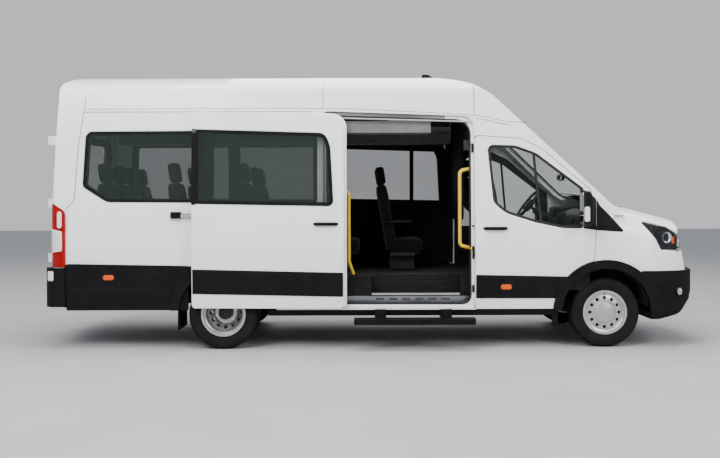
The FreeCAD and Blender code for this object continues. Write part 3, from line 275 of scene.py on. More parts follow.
def side_pieces(name, parts, finish, body="{}_door_body", drawn="right"):
    """A piece for each side, riding on that side's body; the parts lie on the side that they are drawn for."""
    for side in ("left", "right"):
        turned_parts = parts if side == drawn else [mirror(part) for part in parts]
        piece(f"{side}_{name}", turned_parts, finish, body.format(side))


def strip(path, profile, closed=True, surface=on_side, move=(0, 0, 0)):
    """Band along a path on a surface: the profile is set out along the path's normal at each of its points.

    It is a list of (distance outwards, proud)."""
    path = np.asarray(path, float)
    if closed:
        following = np.roll(path, -1, 0)
        if np.sum(path[:, 0] * following[:, 1] - following[:, 0] * path[:, 1]) > 0:
            path = path[::-1]
        along = np.roll(path, -1, 0) - np.roll(path, 1, 0)
    else:
        along = np.gradient(path, axis=0)
    normal = np.stack([-along[:, 1], along[:, 0]], -1) / np.linalg.norm(along, axis=1)[:, None]
    profile = np.asarray(profile, float)
    spots = path[:, None] + normal[:, None] * profile[None, :, :1]
    proud = np.broadcast_to(profile[None, :, 1], spots.shape[:2])
    points = surface(spots[..., 0], spots[..., 1], proud) + np.asarray(move, float)
    return grid(points, wrap_rows=closed)


def line(path, profile, **where):
    """Band along an open path, its profile's distances to the path's left."""
    return strip(path, profile, closed=False, **where)


def upright(x, low, high):
    """Path up a side at x, with points close enough to follow its bow."""
    return np.c_[np.full(16, float(x)), np.linspace(low, high, 16)]


def round_profile(width, height, base=0.0):
    """Half-round profile of a bead: width across, height proud of base."""
    t = np.linspace(0, math.pi, 9)
    return np.stack([-np.cos(t) * width / 2, base + np.sin(t) * height], -1)


def spaced(size, edge, middle):
    """Distances from 0 to size, close together within edge of both ends."""
    ends = edge * (1 - np.cos(np.linspace(0, math.pi / 2, 5)))
    return np.concatenate([ends, np.linspace(edge, size - edge, middle + 2)[1:-1], (size - ends)[::-1]])


def rolled(distance, edge):
    """Share of the full height at a distance from a quarter-round edge."""
    return np.sqrt(np.clip(1 - (1 - np.clip(distance / edge, 0, 1)) ** 2, 0, 1))


def panel(x0, x1, low, high, proud, corner=12.0, edge=5.0, base=-1.0, move=(0, 0, 0), surface=on_side, rows=8):
    """Raised plate: a grid between two heights, lifted by quarter rounds at its edges, ends drawn in by corners.

    low and high are heights, or pairs of them for its two ends. x1 may be a function of height."""
    low, high = np.broadcast_to(low, 2), np.broadcast_to(high, 2)
    size = max(high[0] - low[0], high[1] - low[1])
    v = spaced(size, edge, rows)
    v_near = np.minimum(v, size - v)
    inset = corner - np.sqrt(np.clip(corner ** 2 - (corner - np.minimum(v_near, corner)) ** 2, 0, None))
    ends = np.array([x1(low[1] + (high[1] - low[1]) * t) if callable(x1) else x1 for t in v / size])
    length = ends - x0 - 2 * inset
    u = spaced(1.0, edge / length.mean(), 24)
    share = (v / size)[None, :]
    x = x0 + inset + u[:, None] * length
    z = (low[0] + (low[1] - low[0]) * u)[:, None] * (1 - share) + (high[0] + (high[1] - high[0]) * u)[:, None] * share
    near = np.minimum(u, 1 - u)[:, None] * length
    lift = base + (proud - base) * rolled(near, edge) * rolled(v_near, edge)
    return grid(surface(x, z, lift) + np.asarray(move, float))


def plate_on(outline, surface, lift, edge=(-1, 3, 5, 5.5)):
    """Plate on a surface: its closed outline shrunk to the middle in rings, raised by edge over the first few."""
    middle = outline.mean(0)
    rings = np.array([1.0, 0.995, 0.97, 0.9, 0.6, 0.25, 0.01])[:, None, None]
    rise = lift + np.array([*edge, edge[-1], edge[-1], edge[-1]], float)[:, None]
    spots = middle + rings * (outline - middle)
    return grid(surface(spots[..., 0], spots[..., 1], np.broadcast_to(rise, spots.shape[:2])), wrap_columns=True)


def lathe(profile, centre, steps=48, axis="y", relief=None):
    """Profile of (distance along the axis, radius) turned about the axis; relief adds to the radius."""
    profile = np.asarray(profile, float)
    angle = np.linspace(0, math.tau, steps, endpoint=False)
    radius = np.broadcast_to(profile[:, 1:], (len(profile), steps))
    if relief is not None:
        radius = radius + relief(profile[:, :1], angle[None])
    along = np.broadcast_to(profile[:, :1], radius.shape)
    a, b = radius * np.cos(angle), radius * np.sin(angle)
    order = {"x": (along, a, b), "y": (a, along, b), "z": (a, b, along)}[axis]
    return grid(np.stack(order, -1) + np.asarray(centre, float), wrap_columns=True)


def tube(path, radius, steps=10):
    """Round bar: circles square to a path's direction, closed at its ends by points on the path."""
    path = np.asarray(path, float)
    along = np.gradient(path, axis=0)
    along /= np.linalg.norm(along, axis=1)[:, None]
    up = np.array((0.0, 0.0, 1.0)) if abs(along[0, 2]) < 0.9 else np.array((1.0, 0.0, 0.0))
    side = np.cross(along, up)
    side /= np.linalg.norm(side, axis=1)[:, None]
    over = np.cross(side, along)
    angle = np.linspace(0, math.tau, steps, endpoint=False)[None, :, None]
    radii = np.broadcast_to(radius, len(path))[:, None, None]
    rings = path[:, None] + radii * (np.cos(angle) * side[:, None] + np.sin(angle) * over[:, None])
    rings = np.concatenate([np.repeat(path[:1, None], steps, 1), rings, np.repeat(path[-1:, None], steps, 1)])
    return grid(rings, wrap_columns=True)


def curve_through(points, count=24):
    """Smooth path through a few points: between each two a cubic set by them and their neighbours."""
    points = np.asarray(points, float)
    ends = np.concatenate([[2 * points[0] - points[1]], points, [2 * points[-1] - points[-2]]])
    t = np.linspace(0, len(points) - 1 - 1e-9, count)
    i = t.astype(int)
    f = (t - i)[:, None]
    a, b, c, d = ends[i], ends[i + 1], ends[i + 2], ends[i + 3]
    return 0.5 * (2 * b + (c - a) * f + (2 * a - 5 * b + 4 * c - d) * f ** 2 + (3 * b - a - 3 * c + d) * f ** 3)


def pillow(centre, size, power=0.35, rows=18, columns=28, shape=None):
    """Rounded block: a superellipsoid whose edges are sharper the smaller its power.

    shape may move its points, given the unit coordinates -1..1 and the points."""
    v = np.linspace(-math.pi / 2, math.pi / 2, rows)[:, None]
    u = np.linspace(0, math.tau, columns, endpoint=False)[None]

    def bent(value):
        """The size of a value raised to power, with its sign kept."""
        return np.sign(value) * np.abs(value) ** power

    unit = np.stack([bent(np.cos(v)) * bent(np.cos(u)), bent(np.cos(v)) * bent(np.sin(u)),
                     bent(np.sin(v)) * np.ones_like(u)], -1)
    points = unit * np.asarray(size, float) / 2
    if shape:
        points = shape(unit, points)
    return grid(points + np.asarray(centre, float), wrap_columns=True)


# Materials

def feed(tree, node, inputs):
    """Set a node's inputs; a value that is another node's output is linked."""
    for name, value in inputs.items():
        if isinstance(value, bpy.types.NodeSocket):
            tree.links.new(value, node.inputs[name])
        else:
            node.inputs[name].default_value = value


def add_node(tree, kind, inputs=None, **settings):
    """New node with its settings and inputs."""
    node = tree.nodes.new(kind)
    for name, value in settings.items():
        setattr(node, name, value)
    feed(tree, node, inputs or {})
    return node


def node_tree(name):
    """New material, its tree and its shader."""
    material = bpy.data.materials.new(name)
    material.use_nodes = True
    tree = material.node_tree
    return material, tree, tree.nodes["Principled BSDF"]


def object_place(tree):
    """Place on the piece, in its own coordinates."""
    return add_node(tree, "ShaderNodeTexCoord").outputs["Object"]


def noise_of(tree, scale, detail=4.0, stretch=(1, 1, 1)):
    """Noise on object coordinates; stretch scales the coordinates along each axis."""
    mapping = add_node(tree, "ShaderNodeMapping", {"Vector": object_place(tree), "Scale": stretch})
    noise = {"Vector": mapping.outputs["Vector"], "Scale": scale, "Detail": detail}
    return add_node(tree, "ShaderNodeTexNoise", noise).outputs["Fac"]


def wave_of(tree, direction, scale, distortion=0.0):
    """Bands across object coordinates."""
    wave = {"Vector": object_place(tree), "Scale": scale, "Distortion": distortion}
    return add_node(tree, "ShaderNodeTexWave", wave, bands_direction=direction).outputs["Fac"]


def tones(tree, factor, stops):
    """Colour ramp of (position, colour) stops driven by factor."""
    ramp = add_node(tree, "ShaderNodeValToRGB", {"Fac": factor})
    while len(ramp.color_ramp.elements) < len(stops):
        ramp.color_ramp.elements.new(0.5)
    for element, (position, colour) in zip(ramp.color_ramp.elements, stops):
        element.position = position
        element.color = (*colour, 1)
    return ramp.outputs["Color"]


def span(tree, factor, low, high, start=0.0, end=1.0):
    """Factor from start..end mapped to low..high."""
    limits = {"Value": factor, "From Min": start, "From Max": end, "To Min": low, "To Max": high}
    return add_node(tree, "ShaderNodeMapRange", limits).outputs["Result"]


def combined(tree, operation, first, second):
    """Sum or product of two factors."""
    return add_node(tree, "ShaderNodeMath", {0: first, 1: second}, operation=operation).outputs["Value"]


def bump(tree, height, strength, distance):
    """Normal tilted by the slope of a height."""
    return add_node(tree, "ShaderNodeBump", {"Strength": strength, "Distance": distance,
                                             "Height": height}).outputs["Normal"]


def body_paint():
    """White paint: faint cloudiness, dusty specks with painted shade low down, and a clear coat."""
    material, tree, shader = node_tree("white_paint")
    height = add_node(tree, "ShaderNodeSeparateXYZ", {"Vector": object_place(tree)}).outputs["Z"]
    speck = noise_of(tree, 38.0, 8.0, (0.4, 1, 1))
    # Darker towards the bottom: dusty brown specks, and painted shade on the lower body up to about 1.1 m.
    dust_and_shade = combined(tree, "MULTIPLY", span(tree, height, 0.5, 0.0, 0.35, 1.1), speck)
    clean = tones(tree, noise_of(tree, 3.0, 6.0), [(0.3, (0.89, 0.895, 0.90)), (0.7, (0.92, 0.925, 0.93))])
    mix = add_node(tree, "ShaderNodeMix", data_type="RGBA")
    feed(tree, mix, {"Factor": dust_and_shade, "A": clean, "B": (0.52, 0.50, 0.46, 1)})
    feed(tree, shader, {"Base Color": mix.outputs["Result"], "Roughness": span(tree, speck, 0.26, 0.38),
                        "Coat Weight": 0.5, "Coat Roughness": 0.08,
                        "Normal": bump(tree, noise_of(tree, 420.0, 2.0), 0.03, 0.0004)})
    return material


def speckled(name, dark, light, scale, rough, metallic=0.0, grain=0.25, grain_scale=900.0, coat=0.0,
             stretch=(1, 1, 1), shine=0.5):
    """Surface of two close tones with a fine grain; rough is (lowest, highest) roughness."""
    material, tree, shader = node_tree(name)
    patch = noise_of(tree, scale, 6.0, stretch)
    feed(tree, shader, {"Base Color": tones(tree, patch, [(0.3, dark), (0.7, light)]),
                        "Roughness": span(tree, patch, *rough), "Metallic": metallic, "Coat Weight": coat,
                        "Specular IOR Level": shine,
                        "Normal": bump(tree, noise_of(tree, grain_scale, 3.0, stretch), grain, 0.0006)})
    return material


def tinted_glass(name, colour, alpha, shine):
    """Dark glass seen as a thin coloured film, with faint smears that change its gloss."""
    material, tree, shader = node_tree(name)
    smear = noise_of(tree, 6.0, 5.0, (0.5, 1, 1.5))
    feed(tree, shader, {"Roughness": span(tree, smear, 0.02, 0.06), "Base Color": (*colour, 1),
                        "Alpha": span(tree, smear, alpha - 0.03, alpha + 0.03), "IOR": 1.5,
                        "Specular IOR Level": shine})
    return material


def lens(name, colour, alpha, ribs):
    """Moulded lamp lens: coloured, glossy, with fine ribs as bump."""
    material, tree, shader = node_tree(name)
    feed(tree, shader, {"Base Color": (*colour, 1), "Roughness": 0.08, "Alpha": alpha, "Specular IOR Level": 0.18,
                        "Coat Weight": 0.05, "Normal": bump(tree, wave_of(tree, "Z", ribs), 0.25, 0.001)})
    return material


def woven(name, dark, light, threads):
    """Seat cloth: two crossing thread waves as bump and tone, with a soft sheen."""
    material, tree, shader = node_tree(name)
    cross = combined(tree, "MULTIPLY", *(wave_of(tree, direction, threads, 0.6) for direction in ("X", "Z")))
    both = combined(tree, "ADD", cross, noise_of(tree, 14.0, 6.0))
    feed(tree, shader, {"Base Color": tones(tree, both, [(0.35, dark), (1.0, light)]), "Roughness": 0.9,
                        "Sheen Weight": 0.12, "Specular IOR Level": 0.15,
                        "Normal": bump(tree, cross, 0.5, 0.0012)})
    return material


FINISH = {
    "paint": body_paint(),
    "glass": tinted_glass("tinted_glass", (0.014, 0.026, 0.021), 0.36, 0.8),
    "clear_glass": tinted_glass("clear_glass", (0.014, 0.024, 0.018), 0.13, 0.45),
    "black_plastic": speckled("grained_black_plastic", (0.003, 0.003, 0.0033), (0.006, 0.006, 0.0064), 9.0,
                              (0.50, 0.66), grain=0.35, grain_scale=700.0, shine=0.12),
    "gloss_black": speckled("gloss_black", (0.004, 0.0045, 0.005), (0.008, 0.0085, 0.009), 5.0, (0.12, 0.2),
                            grain=0.02, shine=0.22),
    "clear_lamp": lens("clear_lens", (0.10, 0.11, 0.12), 0.10, 90.0),
    "red_lamp": lens("red_lens", (0.30, 0.001, 0.003), 0.98, 110.0),
    "amber_lamp": lens("amber_lens", (0.78, 0.085, 0.0), 0.98, 120.0),
    "white_lamp": lens("white_lens", (0.80, 0.80, 0.78), 0.95, 100.0),
    "steel_dark": speckled("dark_steel", (0.018, 0.017, 0.017), (0.05, 0.043, 0.038), 12.0, (0.5, 0.75), 0.3,
                           grain=0.3, grain_scale=260.0),
    "rim_silver": speckled("silver_wheel_paint", (0.42, 0.42, 0.43), (0.52, 0.52, 0.53), 16.0, (0.3, 0.45), 0.75,
                           grain=0.08, coat=0.3),
    "tyre": speckled("tyre_rubber", (0.006, 0.006, 0.006), (0.013, 0.0125, 0.012), 8.0, (0.7, 0.9), grain=0.3,
                     grain_scale=500.0, shine=0.12),
    "seat_fabric": woven("seat_cloth", (0.003, 0.0033, 0.0045), (0.011, 0.0115, 0.014), 150.0),
    "lining": speckled("grey_lining", (0.13, 0.132, 0.133), (0.17, 0.172, 0.174), 7.0, (0.6, 0.75), grain=0.2,
                       shine=0.25),
    "dark_trim": speckled("dark_trim", (0.010, 0.010, 0.011), (0.018, 0.018, 0.019), 10.0, (0.55, 0.7), grain=0.3,
                          shine=0.2),
    "floor_covering": speckled("floor_covering", (0.008, 0.0085, 0.009), (0.018, 0.019, 0.02), 60.0, (0.55, 0.7),
                               grain=0.2, shine=0.12),
    "tread_metal": speckled("tread_metal", (0.20, 0.205, 0.21), (0.31, 0.315, 0.32), 20.0, (0.28, 0.42), 0.9,
                            grain=0.2, stretch=(0.15, 1, 1)),
    "step_dark": speckled("step_mat", (0.006, 0.006, 0.0065), (0.014, 0.014, 0.015), 50.0, (0.55, 0.75), 0.1,
                          grain=0.3, stretch=(0.15, 1, 1), shine=0.12),
    "rail_yellow": speckled("yellow_enamel", (0.74, 0.47, 0.015), (0.82, 0.54, 0.02), 12.0, (0.25, 0.35),
                            grain=0.04, coat=0.5),
    "cast": speckled("cast_metal", (0.05, 0.05, 0.05), (0.12, 0.11, 0.10), 18.0, (0.5, 0.7), 0.6, grain=0.4,
                     grain_scale=200.0),
    "track_metal": speckled("brushed_track", (0.4, 0.4, 0.41), (0.55, 0.55, 0.56), 30.0, (0.25, 0.4), 0.9,
                            stretch=(0.1, 1, 1)),
    "rubber": speckled("window_rubber", (0.012, 0.012, 0.013), (0.022, 0.022, 0.023), 14.0, (0.55, 0.7), grain=0.15,
                       shine=0.2),
    "seam": speckled("seam_shadow", (0.025, 0.026, 0.028), (0.045, 0.047, 0.05), 20.0, (0.6, 0.8), grain=0.05),
    "chrome": speckled("bright_metal", (0.75, 0.75, 0.76), (0.85, 0.85, 0.86), 12.0, (0.06, 0.14), 1.0, grain=0.02),
    "plate": speckled("blank_plate", (0.78, 0.78, 0.76), (0.83, 0.83, 0.81), 30.0, (0.35, 0.45), grain=0.1),
    "inner_dark": speckled("cabin_trim", (0.007, 0.007, 0.0075), (0.014, 0.014, 0.015), 12.0, (0.6, 0.75),
                           grain=0.35, grain_scale=500.0, shine=0.12),
    "panel_grey": speckled("headlining", (0.05, 0.052, 0.055), (0.075, 0.077, 0.08), 60.0, (0.8, 0.9), grain=0.4,
                           grain_scale=350.0),
    "mirror_glass": speckled("mirror_glass", (0.6, 0.62, 0.64), (0.66, 0.68, 0.7), 4.0, (0.02, 0.05), 1.0,
                             grain=0.0),
}


def smoother():
    """Geometry group that joins a node's loose triangles and shades it smooth up to its sharp edges."""
    group = bpy.data.node_groups.new("shade_by_angle", "GeometryNodeTree")
    group.interface.new_socket("Geometry", in_out="INPUT", socket_type="NodeSocketGeometry")
    group.interface.new_socket("Geometry", in_out="OUTPUT", socket_type="NodeSocketGeometry")
    start = add_node(group, "NodeGroupInput").outputs[0]
    merged = add_node(group, "GeometryNodeMergeByDistance", {"Geometry": start, "Distance": 0.00001})
    smooth = add_node(group, "GeometryNodeSetShadeSmooth", {"Geometry": merged.outputs["Geometry"]})
    angle = add_node(group, "GeometryNodeInputMeshEdgeAngle").outputs["Unsigned Angle"]
    sharp = add_node(group, "FunctionNodeCompare", {"A": angle, "B": math.radians(28)}, operation="GREATER_THAN")
    edges = add_node(group, "GeometryNodeSetShadeSmooth", domain="EDGE")
    feed(group, edges, {"Geometry": smooth.outputs["Geometry"], "Selection": sharp.outputs["Result"],
                        "Shade Smooth": False})
    add_node(group, "NodeGroupOutput", {0: edges.outputs["Geometry"]})
    return group


SMOOTH = smoother()


# Nodes that look different from the rest of their slot
OWN_FINISH = {"windscreen": "clear_glass", "left_door_glass": "clear_glass", "right_door_glass": "clear_glass",
              "step_well": "step_dark", "door_tracks": "black_plastic"}


def dress_nodes():
    """Every node of the frame gets the finish of its slot and smooth shading between its sharp edges."""
    slots = {entry["node"]: entry["material_slot"] for entry in frame["record"]["subparts"]}
    for name, item in nodes.items():
        item.data.materials.clear()
        item.data.materials.append(FINISH[OWN_FINISH.get(name, slots[name])])
        item.modifiers.new("shade_by_angle", "NODES").node_group = SMOOTH


dress_nodes()


# Outside of the body

GRIP_REACH, GRIP_HEIGHT, GRIP_RADIUS = 34, 34, 15


def arm(x0, x1, z, move=(0, 0, 0)):
    """Pull handle: a grip whose reach is a sine to a low power, and the bead round its shallow cup."""
    t = np.linspace(0, 1, 20)
    reach = GRIP_REACH * np.sin(math.pi * t) ** 0.35
    spine = on_side(x0 + (x1 - x0) * t, z + 0 * t, reach - 6, move) + (0, 4, 0)
    radius = np.interp(t, (0, 0.08, 0.92, 1), (10, GRIP_RADIUS, GRIP_RADIUS, 10))
    points, quads = tube(spine, radius, 14)
    points[:, 2] = z + (points[:, 2] - z) * GRIP_HEIGHT / (2 * GRIP_RADIUS)
    ring = arcs([(x0 - 6, z - 44, 40), (x0 - 6, z + 44, 40), (x1 + 6, z + 44, 40), (x1 + 6, z - 44, 40)])
    return (points, quads), strip(ring, round_profile(5, 1.2, -0.4), move=move)


def body_details():
    """Door claddings, beads, seams, window borders, handles, markers and corner panels."""
    def circle_front(z):
        """Where the front wheel's flare begins at height z, seen from behind it."""
        return FRONT_AXLE - math.sqrt(max((FLARE_RADIUS + 3) ** 2 - (z - WHEEL_Z) ** 2, 0))

    side_pieces("door_cladding", [panel(1051, circle_front, (489, 487), (720, 701), 9, corner=6)], "black_plastic")
    slide_band = panel(-430, 1030, (548, 517), (787, 751), 9, corner=6, move=SLIDE_MOVE)
    piece("sliding_door_cladding", [slide_band], "black_plastic")
    left_band = [mirror(panel(x0, x1, low, high, 9, corner=6)) for x0, x1, low, high in (
        (-892, -446, (560, 548), (795, 787)), (-440, 1038, (548, 517), (787, 751)))]
    piece("left_side_cladding", left_band, "black_plastic")

    # Ceramic borders of the bonded windows and the rubber of the front doors' windows
    def border(outline, wide, move=(0, 0, 0)):
        """Printed border inside a window's outline, wide across, and the bead that laps its edge."""
        return strip(arcs(outline), [(-wide, -3.6), (-wide, -3.2), (-2, -3.2), (3, -2.5), (5, 0.6), (7, -0.5)],
                     move=move)

    piece("quarter_window_border", [border(QUARTER_WINDOW, 30)], "gloss_black", both=True)
    piece("middle_window_border", [border(MIDDLE_WINDOW, 26)], "gloss_black", both=True)
    slide_border = border(SLIDE_WINDOW, 34, SLIDE_MOVE)
    piece("sliding_window_border", [slide_border, mirror(shifted(slide_border, -SLIDE_MOVE))], "gloss_black")
    pillar = line(upright(-1590, 1424, 2146), [(-36, 1.5), (36, 1.5)])
    piece("window_pillar_cover", [pillar], "gloss_black", both=True)
    rubber = strip(arcs(DOOR_WINDOW), [(-16, -5), (-15, -1), (-8, 1.5), (0, 2), (9, 1.5), (11, -0.5)])
    bar = line([(1622, 1916), (1650, 1600), (1686, 1232)], [(-13, -3.5), (-11, 0.5), (11, 0.5), (13, -3.5)])
    side_pieces("door_window_rubber", [rubber, bar], "rubber")

    # Gutter beads and the seams of roof and rear corner
    gutter = curve_through([(-2797, 2366), (-450, 2366), (300, 2338), (1040, 2294), (1330, 2239), (1560, 2222)], 60)
    past_doorway = [gutter[gutter[:, 0] < -460], gutter[(gutter[:, 0] > 1060) & (gutter[:, 0] < 1390)]]
    beads = [line(path - (0, 24), round_profile(16, 3.5, -1)) for path in past_doorway]
    beads.append(mirror(line(gutter[gutter[:, 0] < 1390] - (0, 24), round_profile(16, 3.5, -1))))
    piece("gutter_beads", beads, "paint")
    seams = [line(path + (0, below), [(-2.6, 0.4), (2.6, 0.4)])
             for path, below in [(gutter, -9)] + [(path, -40) for path in past_doorway]]
    for corners in ([(-445, 2370), (-445, 2640)], [(1045, 2292), (1045, 2600)],
                    [(-2752, 2680), (-2763, 2610), (-2850, 1953), (-2876, 1458), (-2958, 1376)]):
        t = np.linspace(0, len(corners) - 1, 24)
        path = np.stack([np.interp(t, range(len(corners)), values) for values in zip(*corners)], -1)
        seams.append(line(path, [(-3.4, 0.4), (3.4, 0.4)]))
    piece("body_seams", seams, "seam", both=True)

    opening = arcs([(-413, 430, 40), (-413, 2292, 60), (1012, 2240, 150), (1012, 426, 90)])
    lip = strip(opening, [(-1, -27), (-6, -30), (-8, -40), (-8, -62)])
    piece("doorway_seal", [strip(opening, round_profile(22, 14, -38) + (-9, 0)), lip], "rubber")

    grip, cup = arm(1126, 1357, 1172)
    side_pieces("door_handle", [grip], "black_plastic")
    side_pieces("door_handle_cup", [cup], "paint")
    grip, cup = arm(747, 981, 1222, SLIDE_MOVE)
    piece("sliding_door_handle", [grip], "black_plastic")
    piece("sliding_door_handle_cup", [cup], "paint")

    # Amber side markers, two a side, on low black seats
    for name, x0, z0, proud, body in (("front_side_marker", 1292, 600, 9, "{}_door_body"),
                                      ("rear_side_marker", -2592, 702, 12, "body")):
        lens_part = panel(x0, x0 + 106, z0 - 25, z0 + 25, proud + 8, corner=22, edge=7, base=proud - 2)
        seat_part = panel(x0 - 7, x0 + 113, z0 - 32, z0 + 32, proud + 2.5, corner=28, edge=3, base=proud - 2)
        side_pieces(name, [lens_part], "amber_lamp", body)
        side_pieces(name + "_seat", [seat_part], "rubber", body)

    # Black corner panels between mirror, bonnet and windscreen
    sail = arcs([(2229, 1152, 4), (2229, 1460, 4), (2262, 1396, 30), (2354, 1303, 60), (2508, 1132, 14)])
    plates = [plate_on(sail, on_side, 0), line([(2230.5, 1156.0), (2230.5, 1452)], [(-5, -3), (5, -3)])]
    for height in (1215, 1262):
        rib = [(2252, height), (2330, height - 6), (2540 - (height - 1080) * 0.9, height - 14)]
        plates.append(line(rib, round_profile(7, 4, 5)))
    piece("corner_panels", plates, "gloss_black", both=True)
    base = arcs([(2100, 1170, 10), (2100, 1552, 10), (2140, 1534, 30), (2226, 1462, 4), (2226, 1152, 4)])
    side_pieces("mirror_base", [plate_on(base, on_side, 0)], "black_plastic")


def rear_details():
    """Rear window borders, door pressings, door handle, plate and high stop lamp."""
    border = strip(arcs(REAR_WINDOW), [(-32, -3.4), (-32, -3.0), (-2, -3.0), (4, 0.6), (6, -0.5)], surface=on_rear)
    side_pieces("rear_window_border", [border], "gloss_black", "{}_rear_door_body", "left")
    rib = strip(arcs([(70, 735, 60), (70, 1350, 60), (830, 1350, 60), (830, 735, 60)]),
                round_profile(14, 2.2, -0.8), surface=on_rear)
    side_pieces("rear_door_pressing", [rib], "paint", "{}_rear_door_body", "left")
    for name, finish, body, place, sizes in (
            ("rear_plate_frame", "black_plastic", "left_rear_door_body", (150, 690, 905, 1035, 9), (14, 4, -1.0)),
            ("rear_plate", "plate", "left_rear_door_body", (162, 678, 915, 1025, 11.5), (8, 1.5, 8)),
            ("rear_door_handle", "black_plastic", "right_rear_door_body", (60, 330, 1150, 1205, 20), (16, 9, -1.0)),
            ("high_stop_lamp", "red_lamp", "body", (-190, 190, 2455, 2490, 10), (14, 5, -1.0)),
            ("high_stop_lamp_seat", "gloss_black", "body", (-202, 202, 2443, 2502, 5), (20, 3, -1.0))):
        part = panel(*place, *sizes, surface=on_rear)
        piece(name, [mirror(part) if body.startswith("right") else part], finish, body)


def side_details():
    """Lines and fillers of the low black cladding, arch lips, window end of the open door and its rail."""
    joint = [line([(-2956, 410), (-2956, 832)], [(-16, 13), (16, 13)]), panel(-1775, -1640, 690, 813, 11, corner=6)]
    piece("cladding_joints", joint, "black_plastic", both=True)
    crease = line([(-2900, 585), (-2400, 581), (-1930, 578)], [(-4, 12.4), (0, 12.9), (4, 12.4)])
    piece("cladding_crease", [crease], "gloss_black", both=True)
    angle = np.linspace(0, math.tau, 25)[:-1]
    dimple = np.c_[-2890 + 38 * np.cos(angle), 728 + 38 * np.sin(angle)]
    piece("cladding_dimples", [strip(dimple, round_profile(9, 3.5, 12))], "black_plastic", both=True)
    t = np.linspace(-0.25, math.pi + 0.25, 60)
    for name, axle in (("front", FRONT_AXLE), ("rear", REAR_AXLE)):
        ring = np.c_[axle + (ARCH_RADIUS - 1.5) * np.cos(t), WHEEL_Z + (ARCH_RADIUS - 1.5) * np.sin(t)]
        lip = line(ring[ring[:, 1] > 400], [(0, 4), (0.4, -30), (0.4, -62), (3, -66)])
        piece(f"{name}_arch_lips", [lip], "black_plastic", both=True)
    end = panel(-441, -396, 1410, 2154, 2.2, corner=6, edge=2, move=SLIDE_MOVE, rows=14)
    piece("sliding_window_end", [end], "gloss_black")
    rail = panel(-1850, -1700, 1286, 1324, 32, corner=3, edge=3, base=4)
    piece("door_track_rail", [rail], "track_metal")


body_details()
rear_details()
side_details()


# Wheels

TYRE_HALF = [(-75, 207), (-81, 216), (-86, 226), (-84.5, 232), (-92, 248), (-97, 268), (-98, 288), (-95.5, 306),
             (-93, 318), (-88, 327), (-80, 333), (-72, 336), (-56, 338.4), (-50, 338.7), (-49, 331.5), (-41, 331.5),
             (-40, 339), (-22, 339.6), (-6, 340), (-5, 332.5), (0, 332.5)]
TYRE_PROFILE = np.array(TYRE_HALF + [(-y, radius) for y, radius in TYRE_HALF[-2::-1]], float)
TYRE_STEPS, SHOULDER_SLOTS, RIB_CUTS, SIDEWALL_RIBS = 576, 64, 96, 180
NUT_COUNT, NUT_CIRCLE = 6, 91


def tread(along, angle):
    """Depth of the shoulder slots and the fine cuts across the ribs, and ribs on the sidewall."""
    edge = np.abs(along)
    shoulder = (edge > 56) & (edge < 92)
    slots = shoulder & (np.mod(angle * SHOULDER_SLOTS / math.tau + edge * 0.004, 1) < 0.22)
    ribs = (edge < 50) & (np.mod(angle * RIB_CUTS / math.tau + along * 0.012, 1) < 0.14)
    serration = (edge > 84) & (edge < 86.5) & (np.mod(angle * SIDEWALL_RIBS / math.tau, 1) < 0.5)
    return -6.0 * slots - 4.0 * ribs - 0.8 * serration


def wheels():
    """Tyres with their tread, wheel nuts, valves, hub covers and brake discs."""
    def tyre_part(x, y):
        """Tyre: its profile turned about the axle, with the tread cut in."""
        return lathe(TYRE_PROFILE, (x, y, WHEEL_Z), TYRE_STEPS, relief=tread)

    for side, sign in (("left", 1), ("right", -1)):
        def hub_part(profile, x, y, steps, z=WHEEL_Z):
            """Lathed part whose profile runs outwards on this side."""
            return lathe([(sign * along, radius) for along, radius in profile], (x, y, z), steps)

        body, y = f"front_{side}_wheel", sign * FRONT_TRACK
        piece(f"front_{side}_tyre_tread", [tyre_part(FRONT_AXLE, y)], "tyre", body,
              stands_for=[f"front_{side}_tyre"])
        twins = [tyre_part(REAR_AXLE, sign * (REAR_TRACK + step)) for step in (-TWIN_STEP, TWIN_STEP)]
        piece(f"rear_{side}_tyre_treads", twins, "tyre", f"rear_{side}_wheel", stands_for=[f"rear_{side}_tyres"])
        low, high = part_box(f"front_{side}_rim")
        cover = hub_part([(-43, 113), (-37, 112), (-23, 106), (-12, 92), (-7, 84), (-5, 80), (-5, 74), (-7, 70),
                          (-2, 40), (-1, 0)], FRONT_AXLE, (high.y if sign > 0 else low.y) / MM, 64)
        piece(f"front_{side}_hub_cover", [cover], "rim_silver", body)
        disc = hub_part([(18, 60), (20, 60), (20, 172), (12, 176), (8, 176)], FRONT_AXLE, y, 48)
        piece(f"front_{side}_brake_disc", [disc], "steel_dark", body)
        body = f"rear_{side}_wheel"
        nut = [(0, 0), (0, 15), (4, 15), (4, 12.5), (17, 12.5), (20, 9), (22, 7), (22, 0)]
        nuts = [hub_part(nut, REAR_AXLE + NUT_CIRCLE * math.cos(a), sign * (REAR_TRACK + 13), 6,
                         WHEEL_Z + NUT_CIRCLE * math.sin(a)) for a in np.arange(NUT_COUNT) * math.tau / NUT_COUNT + 0.3]
        piece(f"rear_{side}_wheel_nuts", nuts, "chrome", body)
        cap = [(13, 68.5), (18, 72), (58, 70), (74, 66), (86, 52), (88, 40), (94, 30), (95, 0)]
        piece(f"rear_{side}_hub_cap", [hub_part(cap, REAR_AXLE, sign * REAR_TRACK, 48)], "steel_dark", body)
        for axle, y, name in ((FRONT_AXLE, FRONT_TRACK, "front"), (REAR_AXLE, REAR_TRACK + TWIN_STEP, "rear")):
            valve = tube([(axle + 8, sign * (y + 34), WHEEL_Z + 186), (axle + 4, sign * (y + 52), WHEEL_Z + 180),
                          (axle + 2, sign * (y + 66), WHEEL_Z + 174)], 4, 8)
            piece(f"{name}_{side}_valve", [valve], "rubber", f"{name}_{side}_wheel")


wheels()


# Inside

STEERING_CENTRE, STEERING_LEAN = np.array((1840.0, 455, 1408)), math.radians(-38)
MIRROR_STALK, STALK_LEAN = (2152, 0, 1722), 0.72


